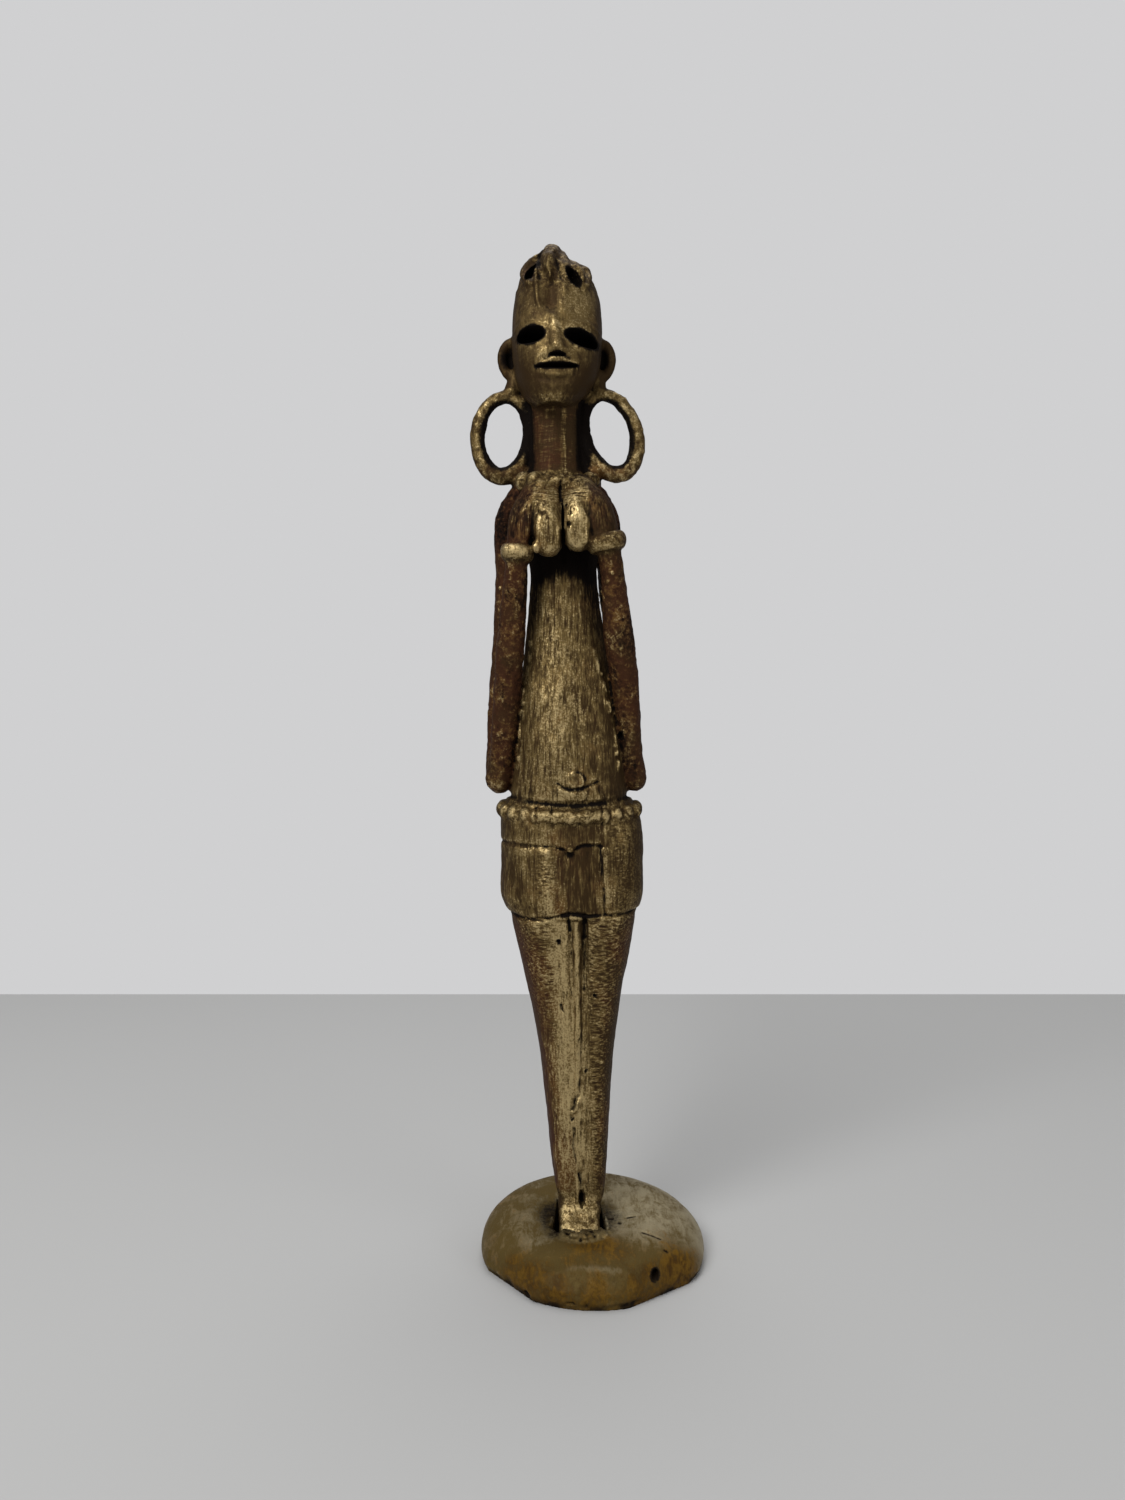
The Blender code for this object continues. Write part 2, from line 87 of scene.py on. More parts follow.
class Wax:
    # closed skins gathered into one mesh, each a grid of rings
    def __init__(self):
        self.points, self.quads, self.fans, self.count = [], [], [], 0

    def grid(self, rings, closed=False):
        # quads between neighbouring rings; open ends get a fan of triangles round their middle
        n, sides = rings.shape[:2]
        i, j = np.meshgrid(np.arange(n if closed else n - 1), np.arange(sides), indexing="ij")
        up, right = (i + 1) % n, (j + 1) % sides
        quads = np.stack([i * sides + j, i * sides + right, up * sides + right, up * sides + j], -1)
        self.quads.append(quads.reshape(-1, 4) + self.count)
        points = rings.reshape(-1, 3)
        if not closed:
            k = np.arange(sides)
            nextK = (k + 1) % sides
            low, high = len(points), len(points) + 1
            top = (n - 1) * sides
            self.fans.append(np.stack([nextK, k, np.full(sides, low)], -1) + self.count)
            self.fans.append(np.stack([top + k, top + nextK, np.full(sides, high)], -1) + self.count)
            points = np.vstack([points, rings[0].mean(0), rings[-1].mean(0)])
        self.points.append(points)
        self.count += len(points)

    def loft(self, rows, sides=120, steps=8, relief=None):
        # level superellipses through rows of z, x, y, half width, half depth, squareness:
        # x + wide * sign(cos) |cos|^(2/n), y + deep * sign(sin) |sin|^(2/n)
        rows = curveThrough(rows, steps)
        z, x, y, wide, deep, square = (rows[:, k][:, None] for k in range(6))
        a = np.linspace(0, 2 * np.pi, sides, endpoint=False)[None]
        c, s = np.cos(a), np.sin(a)
        swell = 1 + (relief(a + 0 * z, z + 0 * a) if relief else 0)
        px = x + wide * swell * np.sign(c) * np.abs(c) ** (2 / square)
        py = y + deep * swell * np.sign(s) * np.abs(s) ** (2 / square)
        self.grid(np.stack([px, py, z + 0 * a], -1))

    def ball(self, x, y, z, wide, deep, high, turn=0.0, sides=32, rings=20):
        # ellipsoid centre + (wide cos cos, deep sin cos, high sin), turned in the frontal plane
        a = np.linspace(0, 2 * np.pi, sides, endpoint=False)[None]
        b = np.linspace(-0.48 * np.pi, 0.48 * np.pi, rings)[:, None]
        u, v, w = wide * np.cos(a) * np.cos(b), deep * np.sin(a) * np.cos(b), high * np.sin(b) + 0 * a
        c, s = math.cos(math.radians(turn)), math.sin(math.radians(turn))
        self.grid(np.stack([x + u * c - w * s, y + v, z + u * s + w * c], -1))

    def wire(self, rows, side=(0, 1, 0), steps=8, sides=24, closed=False, flat=1.0):
        # round wire along x, y, z, radius: p + r (cos a * u + flat * sin a * v), where u and v
        # stand square to the path and v follows side; open ends are rounded off
        rows = curveThrough(rows, steps, closed)
        p, r = rows[:, :3], rows[:, 3:4]
        along = (np.roll(p, -1, 0) - np.roll(p, 1, 0)) if closed else np.gradient(p, axis=0)
        along /= np.linalg.norm(along, axis=1, keepdims=True)
        if not closed:
            t = np.radians([78, 52, 26])[:, None]
            p = np.vstack([p[:1] - along[:1] * r[:1] * np.sin(t), p,
                           p[-1:] + along[-1:] * r[-1:] * np.sin(t[::-1])])
            r = np.vstack([r[:1] * np.cos(t), r, r[-1:] * np.cos(t[::-1])])
            along = np.vstack([np.repeat(along[:1], 3, 0), along, np.repeat(along[-1:], 3, 0)])
        u = np.cross(along, np.array(side, float))
        u /= np.linalg.norm(u, axis=1, keepdims=True)
        v = np.cross(along, u)
        a = np.linspace(0, 2 * np.pi, sides, endpoint=False)[None, :, None]
        rings = p[:, None] + r[:, None] * (np.cos(a) * u[:, None] + flat * np.sin(a) * v[:, None])
        self.grid(rings, closed)

    def mesh(self, name, place=toWorld):
        return newMesh(name, place(np.vstack(self.points)), np.vstack(self.quads),
                       np.vstack(self.fans) if self.fans else np.zeros((0, 3), int))


def newMesh(name, points, quads, triangles):
    # mesh from points in metres and faces as rows of point numbers
    mesh = bpy.data.meshes.new(name)
    mesh.vertices.add(len(points))
    mesh.vertices.foreach_set("co", points.astype(np.float32).ravel())
    corners = np.concatenate([quads.ravel(), triangles.ravel()])
    sizes = np.concatenate([np.full(len(quads), 4), np.full(len(triangles), 3)])
    mesh.loops.add(len(corners))
    mesh.loops.foreach_set("vertex_index", corners.astype(np.int32))
    mesh.polygons.add(len(sizes))
    mesh.polygons.foreach_set("loop_start", (np.cumsum(sizes) - sizes).astype(np.int32))
    mesh.update(calc_edges=True)
    mesh.validate()
    return mesh


def newObject(name, mesh):
    thing = bpy.data.objects.new(name, mesh)
    bpy.context.scene.collection.objects.link(thing)
    return thing


def finished(thing, name):
    # the mesh that the modifiers give, with the working object removed
    graph = bpy.context.evaluated_depsgraph_get()
    mesh = bpy.data.meshes.new_from_object(thing.evaluated_get(graph))
    mesh.name = name
    old = thing.data
    bpy.data.objects.remove(thing)
    bpy.data.meshes.remove(old)
    return mesh


def fuse(name, mesh, hollows, values):
    # one watertight skin: voxels melt the forms together, then the hollows are cut
    thing = newObject(name, mesh)
    melt = thing.modifiers.new("melt", "REMESH")
    melt.mode, melt.voxel_size = "VOXEL", values["voxel"] / 1000
    soften = thing.modifiers.new("soften", "SMOOTH")
    soften.factor, soften.iterations = 0.5, values["rounds"]
    cutter = newObject(name + "_hollows", hollows)
    carve = thing.modifiers.new("carve", "BOOLEAN")
    carve.operation, carve.solver, carve.object = "DIFFERENCE", "MANIFOLD", cutter
    mesh = finished(thing, name)
    bpy.data.objects.remove(cutter)
    return mesh


def meshArrays(mesh):
    # points, normals and edges of a mesh as arrays
    points = np.empty(len(mesh.vertices) * 3, np.float32)
    mesh.vertices.foreach_get("co", points)
    normals = np.empty(len(mesh.vertices) * 3, np.float32)
    mesh.vertices.foreach_get("normal", normals)
    edges = np.empty(len(mesh.edges) * 2, np.int32)
    mesh.edges.foreach_get("vertices", edges)
    return points.reshape(-1, 3).astype(float), normals.reshape(-1, 3).astype(float), edges.reshape(-1, 2)


def spread(values, edges, rounds):
    # each point moves half way to the average of its neighbours, again and again
    a, b = edges[:, 0], edges[:, 1]
    n = len(values)
    near = np.maximum(np.bincount(a, minlength=n) + np.bincount(b, minlength=n), 1)[:, None]
    for _ in range(rounds):
        total = np.stack([np.bincount(a, values[b, k], n) + np.bincount(b, values[a, k], n)
                          for k in range(values.shape[1])], 1)
        values = 0.5 * (values + total / near)
    return values


def grainNoise(points, size, seed):
    # smooth random field from -1 to 1: hashed values on a lattice, blended by 3t^2 - 2t^3
    q = points / np.asarray(size, float) + 19.37 * seed
    cell = np.floor(q).astype(np.int64)
    t = q - cell
    t = t * t * (3 - 2 * t)
    total = np.zeros(len(points))
    for corner in range(8):
        step = np.array([(corner >> k) & 1 for k in range(3)])
        c = cell + step
        h = (c[:, 0] * 73856093) ^ (c[:, 1] * 19349663) ^ (c[:, 2] * 83492791) ^ (seed * 2654435)
        h = ((h ^ (h >> 13)) * 1274126177) & 0xFFFFFFFF
        h = (h ^ (h >> 16)) & 0xFFFF
        total += (h / 32767.5 - 1) * np.prod(np.where(step, t, 1 - t), axis=1)
    return total


def soft(value, low, high):
    # 0 at low, 1 at high, whichever is larger, 3t^2 - 2t^3 between
    t = np.clip((value - low) / (high - low), 0, 1)
    return t * t * (3 - 2 * t)


def band(value, low, full, fade, high):
    # 1 between full and fade, falling smoothly to 0 at low and at high
    return soft(value, low, full) * soft(value, high, fade)


def bell(value, middle, width):
    # exp(-((value - middle) / width)^2)
    return np.exp(-((value - middle) / width) ** 2)


def layered(p, layers):
    # sum of height * noise over layers of height, grain size and seed
    return sum(height * grainNoise(p, size, seed) for height, size, seed in layers)


# The woman's forms: z, x, y, half width, half depth, squareness, in ruler millimetres
figure = {
    "voxel": 0.3, "rounds": 3, "facets": 196000,
    "feet": [(0, 0, -2.3, 4.5, 6.6, 6), (4, 0, -2.3, 4.5, 6.6, 6), (6.4, 0, -1.2, 4.5, 5.5, 5),
             (10, 0.1, 0, 4.6, 4.3, 3)],
    # both legs together as z, half width over all, half depth, backward shift
    "legs": [(5, 4.6, 4.4, 0.0), (8.3, 4.9, 4.4, 0.0), (14.5, 5.85, 4.6, 0.1), (23, 6.5, 5.1, 0.4),
             (30, 7.1, 5.8, 0.6), (41, 8.1, 6.6, 0.6), (50, 9.4, 7.2, 0.4), (58, 10.8, 8.1, 0.2),
             (66, 12.5, 9.2, 0.0), (72, 13.6, 10.2, 0.0), (79, 13.6, 10.2, 0.0)],
    "legsX": 0.3,
    "skirt": [(72.4, 0.1, 0, 13.3, 9.9, 2.4), (73.0, 0.1, 0, 14.0, 10.6, 2.4),
              (74.6, 0.1, 0, 15.0, 11.1, 2.4), (77.6, 0.1, 0, 15.7, 11.3, 2.5),
              (83.5, 0.3, 0, 15.5, 11.2, 2.5), (89.0, 0.4, 0, 15.45, 11.0, 2.5),
              (93.4, 0.3, 0, 15.2, 10.8, 2.4), (95.0, 0.2, 0, 14.5, 10.3, 2.3),
              (96.4, 0.2, 0, 13.4, 9.7, 2.2)],
    "trunk": [(93, 0.1, 0, 13.6, 9.6, 2.2), (97.2, 0.0, 0, 13.8, 9.7, 2.2),
              (99.4, 0.0, -0.3, 12.7, 9.4, 2.2), (108.3, 0.2, -0.4, 11.6, 8.9, 2.2),
              (119, 0.0, -0.2, 10.6, 7.9, 2.2), (129.6, 0.1, 0, 9.0, 6.8, 2.2),
              (140.2, 0, 0, 7.6, 5.9, 2.2), (147.6, 0, 0.1, 7.3, 5.6, 2.3),
              (153.5, -0.4, 0.5, 9.0, 5.8, 2.5), (159, -0.7, 0.5, 10.0, 5.8, 2.5),
              (162.8, -0.8, 0.3, 8.9, 5.6, 2.3), (165.6, -0.9, 0, 7.2, 5.4, 2.1),
              (168.3, -1.0, 0, 6.0, 5.3, 2), (172, -1.1, 0, 5.4, 5.2, 2),
              (177, -1.1, 0, 5.3, 5.2, 2), (184, -1.0, -0.5, 5.4, 5.2, 2)],
    "head": [(180.6, -1.5, -4.9, 3.4, 5.0, 2), (182.8, -1.2, -3.5, 6.0, 7.3, 2.1),
             (186, -0.7, -2.4, 8.0, 8.8, 2.2), (190, -0.4, -1.7, 9.2, 9.6, 2.3),
             (195, -0.25, -1.0, 9.6, 9.8, 2.3), (199.3, -0.1, -0.5, 9.6, 9.6, 2.2),
             (204, 0.0, -0.2, 9.0, 8.9, 2.1), (208, -0.1, 0, 7.8, 7.6, 2),
             (211, -0.4, 0.2, 5.7, 5.8, 2), (212.8, -0.4, 0.3, 3.2, 3.4, 2)],
    # arms as x, y, z, radius: down behind from the shoulder to the elbow, then up in front
    "arms": [
        [(-8.5, 1.2, 162.4, 3.4), (-11.3, 2.8, 158.6, 3.2), (-12.2, 3.6, 153, 2.9),
         (-12.4, 3.7, 146, 2.6), (-13.4, 3.6, 132, 2.6), (-14.6, 3.0, 119, 2.6),
         (-15.2, 1.9, 108, 2.7), (-15.1, 0.4, 102.0, 3.0)],
        [(6.9, 1.2, 162.3, 3.4), (9.4, 2.8, 158.0, 3.1), (9.8, 3.6, 152, 2.9),
         (10.2, 3.7, 146, 2.8), (11.6, 3.6, 132, 2.9), (13.0, 3.0, 119, 2.7),
         (13.7, 1.9, 108, 2.6), (14.1, 0.4, 102.2, 2.9)],
        [(-15.1, -0.2, 101.6, 3.0), (-14.1, -2.2, 108, 2.8), (-12.9, -4.2, 119, 2.9),
         (-11.5, -6.3, 131.7, 3.0), (-10.0, -9.0, 145, 2.4), (-9.7, -10.2, 149.5, 2.4)],
        [(14.2, -0.2, 102.0, 3.0), (13.7, -2.2, 108, 2.5), (12.8, -4.2, 119, 2.8),
         (11.4, -6.3, 131.7, 3.2), (10.2, -9.0, 145, 2.5), (9.3, -10.2, 150.5, 2.6)]],
    # hands as flat wedges from the bracelets up to the collar
    "hands": [
        [(-9.7, -10.0, 149.5, 2.3), (-9.1, -10.0, 153.5, 2.9), (-7.6, -9.4, 158, 3.5),
         (-5.4, -7.2, 163.0, 3.2)],
        [(9.3, -10.0, 150.5, 2.6), (8.4, -10.0, 155, 3.4), (6.8, -9.4, 159.5, 3.8), (4.6, -7.2, 163.4, 3.2)]],
    # hoops as x, z, half width, half height, turn
    "hoops": [(-12.2, 175.6, 5.6, 8.5, -7), (10.7, 176.0, 5.6, 8.6, 14)],
    "crest": [(-1.4, -8.8, 206.0, 0.6), (-1.5, -7.6, 208.0, 1.0), (-1.4, -5.6, 210.6, 1.8),
              (-1.1, -2.8, 212.4, 2.4), (-0.9, -0.4, 213.2, 2.4), (-0.9, 3.2, 211.6, 2.4),
              (-0.8, 6.6, 207.6, 1.9), (-0.6, 8.6, 202.0, 1.4)],
    # strand that runs down both sides of the crest and round the hollow of the forehead
    "strand": [(-2.6, -2.4, 212.6, 0.9), (-3.6, -4.8, 210.2, 0.85), (-4.1, -7.0, 207.4, 0.7),
               (-4.2, -8.4, 204.3, 0.5), (-4.0, -9.2, 201.2, 0.4), (-3.0, -9.7, 199.1, 0.35),
               (-1.4, -9.9, 198.3, 0.35), (0.2, -9.7, 199.1, 0.35), (1.2, -9.3, 201, 0.4),
               (1.6, -8.7, 204.0, 0.5), (1.8, -7.2, 207.3, 0.8), (1.8, -4.7, 210.2, 1.2),
               (1.0, -2.4, 212.5, 1.4)],
    "loops": [
        [(-3.2, -2.2, 212.6, 1.0), (-5.3, -2.7, 211.4, 0.95), (-6.5, -3.5, 209.4, 0.9),
         (-6.7, -4.8, 207.5, 0.85), (-6.1, -6.1, 206.2, 0.8), (-4.9, -7.1, 205.4, 0.7)],
        [(2.4, -2.4, 211.2, 1.1), (4.6, -2.7, 210.2, 1.0), (6.0, -3.3, 209.2, 1.0),
         (6.6, -4.3, 207.5, 0.95), (6.3, -5.6, 205.8, 0.85), (5.4, -6.9, 204.4, 0.7)],
        [(3.7, -5.0, 209.4, 0.7), (4.7, -6.0, 208.2, 0.95), (5.1, -6.5, 206.4, 0.85),
         (5.0, -6.9, 204.9, 0.5)]],
    "knobs": [(1.4, -1.2, 210.6, 2.4, 2.8, 2.6), (-2.9, -1.0, 210.9, 1.8, 2.4, 2.3),
              (-10.7, 0.7, 194.4, 1.5, 0.8, 1.7), (9.8, 0.7, 194.6, 1.5, 0.8, 1.6),
              (-5.4, -12.2, 150.7, 1.1, 1.2, 1.6)],
    "nose": [(-0.8, -9.3, 197.4, 1.5), (-0.5, -10.1, 194.0, 1.5), (-0.1, -10.8, 191.3, 1.7)],
    "lips": [
        [(-5.0, -9.6, 187.9, 0.35), (-2.6, -10.75, 188.8, 0.5), (0.4, -10.95, 189.1, 0.5),
         (2.2, -10.7, 188.7, 0.5), (3.8, -9.9, 188.1, 0.35)],
        [(-4.9, -9.5, 187.0, 0.35), (-2.6, -10.5, 186.1, 0.58), (-0.2, -10.85, 185.8, 0.68),
         (2.0, -10.4, 186.4, 0.55), (3.7, -9.7, 187.3, 0.35)]],
    # ridge down the front of the legs, with the metal that fills its two sides
    "seam": [
        [(1.0, -8.9, 73, 1.0), (0.8, -7.9, 60, 0.95), (0.7, -6.9, 50, 0.95), (0.4, -6.0, 40, 0.95),
         (0.2, -5.0, 28, 0.95), (0.1, -4.3, 15, 0.95), (0.1, -4.4, 9, 0.95)],
        [(-1.8, -7.1, 72, 2.3), (-1.6, -5.6, 50, 1.95), (-1.4, -4.3, 28, 1.5), (-1.1, -3.6, 14, 1.2)],
        [(2.3, -7.4, 66, 0.8), (2.1, -6.3, 56, 1.0), (1.8, -5.8, 50, 1.1), (1.6, -5.2, 40, 1.1),
         (1.3, -4.4, 28, 1.0), (1.1, -3.8, 14, 0.9)]],
    "nick": [(-1.2, -5.7, 29.4, 0.35), (-0.5, -6.1, 30.2, 0.55), (0.1, -6.3, 31.5, 0.55),
             (0.5, -6.1, 32.6, 0.35)],
    "webs": [[(-7.0, 0.3, 168.5, 1.5), (-6.3, 0.2, 173, 1.3), (-6.1, 0.2, 178, 1.3), (-6.6, 0.2, 182, 1.5)],
             [(5.4, 0.3, 168.5, 1.5), (4.5, 0.2, 173, 1.3), (4.2, 0.2, 178, 1.3), (5.2, 0.2, 182, 1.5)],
             [(9.6, 1.6, 137.0, 1.0), (9.9, 1.6, 130, 1.4), (10.6, 1.4, 120, 1.6)]],
    # hollows as x, y, z, half width, half depth, half height, turn, blackness
    "hollows": {
        "eyeLeft": (-5.7, -9.8, 194.3, 3.05, 8.0, 1.85, 3, 1.0),
        "eyeRight": (5.0, -9.8, 193.5, 3.75, 8.0, 1.75, -13, 1.0),
        "mouth": (-0.5, -11.4, 187.65, 4.8, 3.0, 0.64, 1, 1.0),
        "underNose": (-0.2, -12.0, 189.8, 1.8, 1.7, 0.42, 0, 1.0),
        "hairLeft": (-5.4, -6.0, 208.4, 0.9, 3.4, 2.1, -24, 0.8),
        "hairRight": (3.5, -8.2, 206.9, 1.15, 3.8, 2.6, 28, 1.0),
        "slit": (0.05, -13.2, 155.2, 0.22, 4.0, 8.0, 0, 0.9),
        "ankle": (0.6, -5.6, 9.9, 0.6, 1.7, 1.9, 0, 0.6),
        "pitThigh": (-3.0, -9.2, 67.9, 0.36, 0.9, 0.36, 0, 1.0),
        "pitKnee": (4.4, -7.9, 55.7, 0.4, 0.8, 0.34, 0, 0.9),
        "pitShin": (2.4, -6.3, 38.8, 0.5, 0.7, 0.3, 15, 0.8),
        "pitBreastHigh": (0.75, -13.0, 159.2, 0.35, 1.6, 0.35, 0, 0.5),
        "pitBreastMiddle": (1.3, -13.6, 157.5, 0.7, 0.9, 0.75, 0, 0.35),
        "pitBreastLow": (1.2, -13.7, 155.1, 0.45, 1.1, 0.6, 0, 0.45),
        "armHole": (11.3, -5.0, 111.4, 0.6, 2.0, 0.9, 0, 1.0),
    },
    # the breasts are filed back beyond this y to a share of what stood proud
    "filedAt": -12.9, "filedShare": 0.45,
}


def oval(x, y, z, wide, high, radius, turn=0.0, start=0, end=360, count=12):
    # points of an upright oval seen from the front, with their wire radius
    a = np.radians(np.linspace(start, end, count, endpoint=end - start < 360))
    u, v = wide * np.cos(a), high * np.sin(a)
    c, s = math.cos(math.radians(turn)), math.sin(math.radians(turn))
    return np.stack([x + u * c - v * s, y + 0 * a, z + u * s + v * c, radius + 0 * a], 1)


def levelRing(x, y, z, radius, wire, tilt):
    # level ring round a wrist, tilted in the frontal plane
    a = np.radians(np.arange(0, 360, 45))
    return np.stack([x + radius * np.cos(a), y + radius * np.sin(a),
                     z + math.tan(math.radians(tilt)) * radius * np.cos(a), wire + 0 * a], 1)


def beads(wax, x, y, z, wide, deep, radius, count, sag, vary, seed):
    # beads lying level around the body, sagging at the front, each a little different
    rough = np.random.default_rng(seed)
    for k in range(count):
        a = 2 * math.pi * (k + 0.5 + rough.uniform(-vary, vary)) / count
        r = radius * (1 + rough.uniform(-vary, vary))
        wax.ball(x + wide * math.cos(a), y + deep * math.sin(a),
                 z - sag * max(0.0, -math.sin(a)) + rough.uniform(-vary, vary), r, r, r * 1.06,
                 sides=20, rings=12)


def makeForms():
    wax = Wax()
    f = figure
    level, across = (0, 0, 1), (1, 0, 0)
    wax.loft(f["feet"], steps=4)
    for side in (-1, 1):
        wax.loft([(z, f["legsX"] + side * 0.46 * w, back, 0.54 * w, d, 2.2)
                  for z, w, d, back in f["legs"]])
    wax.loft([(z, f["legsX"], back, 0.40 * w, 0.88 * d, 2.6) for z, w, d, back in f["legs"]])
    wax.loft(f["skirt"], sides=240, steps=6)
    wax.loft(f["trunk"])
    wax.loft(f["head"])
    for side in (-1, 1):
        wax.ball(0.3 + side * 6.4, 4.6, 80.5, 7.4, 7.8, 8.6)  # buttocks
        wax.ball(side * 9.4, 1.4, 192.0, 2.0, 0.9, 3.4)  # backs of the ears
        wax.ball(-0.1 + side * 1.3, -10.9, 190.7, 0.85, 0.9, 0.75)  # nostrils
    for side, tip in ((-1, 151.2), (1, 152.3)):  # breasts
        wax.wire([(side * 2.6, -3.6, 162.6, 3.2), (side * 2.9, -7.4, 160.2, 3.6),
                  (side * 3.1, -10.2, tip + 3.6, 3.6), (side * 3.1, -10.7, tip + 0.3, 3.0)], across)
    for x, y, z, wide, deep, high in f["knobs"]:
        wax.ball(x, y, z, wide, deep, high)
    for arm in f["arms"]:
        wax.wire(arm)
    for side, hand in zip((-0.6, 0.6), f["hands"]):
        wax.wire(hand, side=(side, -0.8, 0), flat=0.62)
    for web in f["webs"]:
        wax.wire(web)
    beads(wax, 0.2, 0, 95.3, 14.5, 10.7, 1.6, 26, 0.9, 0.12, 3)  # belt
    beads(wax, -0.75, -0.3, 165.9, 7.8, 6.9, 1.75, 15, 0.9, 0.3, 5)  # necklace
    a = np.radians(np.arange(0, 360, 30))
    wax.wire(np.stack([-0.75 + 7.8 * np.cos(a), -0.3 + 6.9 * np.sin(a),
                       165.7 - 0.9 * np.maximum(0, -np.sin(a)), 1.35 + 0 * a], 1), level, closed=True)
    a = np.radians(np.linspace(244, 296, 9))  # belt worn smooth in front
    wax.wire(np.stack([0.2 + 14.6 * np.cos(a), 10.9 * np.sin(a), 95.4 + 0.9 * np.sin(a),
                       1.35 + 0 * a], 1), level)
    thick = 1.6 - 0.25 * np.sin(np.radians(np.arange(0, 360, 30)))
    for x, z, wide, high, turn in f["hoops"]:
        wax.wire(oval(x, 0, z, wide, high, thick, turn), closed=True)
    wax.wire([(-7.2, 0.2, 166.6, 1.8), (-9.2, 0.1, 168.2, 1.8)])
    wax.wire([(5.2, 0.2, 166.8, 1.8), (7.4, 0.1, 168.4, 1.8)])
    wax.wire(oval(-9.4, 0.2, 192.0, 2.7, 3.75, 1.1, 0, 60, 300, 9))  # ears
    wax.wire(oval(8.6, 0.2, 191.8, 2.7, 3.7, 1.1, 0, -120, 120, 9))
    wax.wire([(-9.0, 0.2, 188.6, 1.7), (-10.2, 0.1, 185.0, 1.7)])
    wax.wire([(8.6, 0.2, 188.4, 1.5), (8.6, 0.1, 185.4, 1.5)])
    wax.wire(levelRing(-9.6, -10.0, 149.6, 2.45, 1.15, -3), level, closed=True, flat=1.6)  # bracelets
    wax.wire(levelRing(9.1, -10.1, 151.6, 2.95, 1.15, 12), level, closed=True, flat=1.6)
    wax.wire(oval(1.6, -9.4, 102.2, 1.5, 1.5, 0.55, 0, -150, 150, 9))  # navel
    wax.ball(1.5, -9.0, 102.1, 1.1, 0.9, 1.1)
    wax.ball(-0.1, -11.2, 87.5, 1.5, 1.1, 0.95)  # knot of the wrap
    wax.wire(f["crest"], across)
    wax.wire(f["strand"], level)
    for loop in f["loops"]:
        wax.wire(loop)
    for line in f["seam"]:
        wax.wire(line, across)
    wax.wire(f["nick"], across)
    wax.wire(f["nose"], across)
    for lip in f["lips"]:
        wax.wire(lip, level)
    return wax.mesh("forms")


def makeHollows():
    cut = Wax()
    for x, y, z, wide, deep, high, turn, _ in figure["hollows"].values():
        cut.ball(x, y, z, wide, deep, high, turn)
    return cut.mesh("hollows")


def wayAlong(points, a, b):
    # share of the way from a to b that lies nearest to each point
    way = b - a
    return np.clip((points - a) @ way / (way @ way), 0, 1)[:, None]


def nearLine(points, corners):
    # distance from every point to a line of corners
    best, corners = np.full(len(points), 1e3), np.asarray(corners, float)
    for a, b in zip(corners[:-1], corners[1:]):
        gap = points - a - wayAlong(points, a, b) * (b - a)
        best = np.minimum(best, np.linalg.norm(gap, axis=1))
    return best


def armShare(p):
    # 1 on the arms' wires: the distance to each bent wire as a share of its radius there
    best = np.full(len(p), 1e3)
    for rows in figure["arms"]:
        rows = np.asarray(rows, float)
        for a, b in zip(rows[:-1], rows[1:]):
            t = wayAlong(p, a[:3], b[:3])
            gap = np.linalg.norm(p - a[:3] - t * (b[:3] - a[:3]), axis=1)
            best = np.minimum(best, gap / (a[3] + t[:, 0] * (b[3] - a[3])))
    return soft(best, 1.25, 1.05)


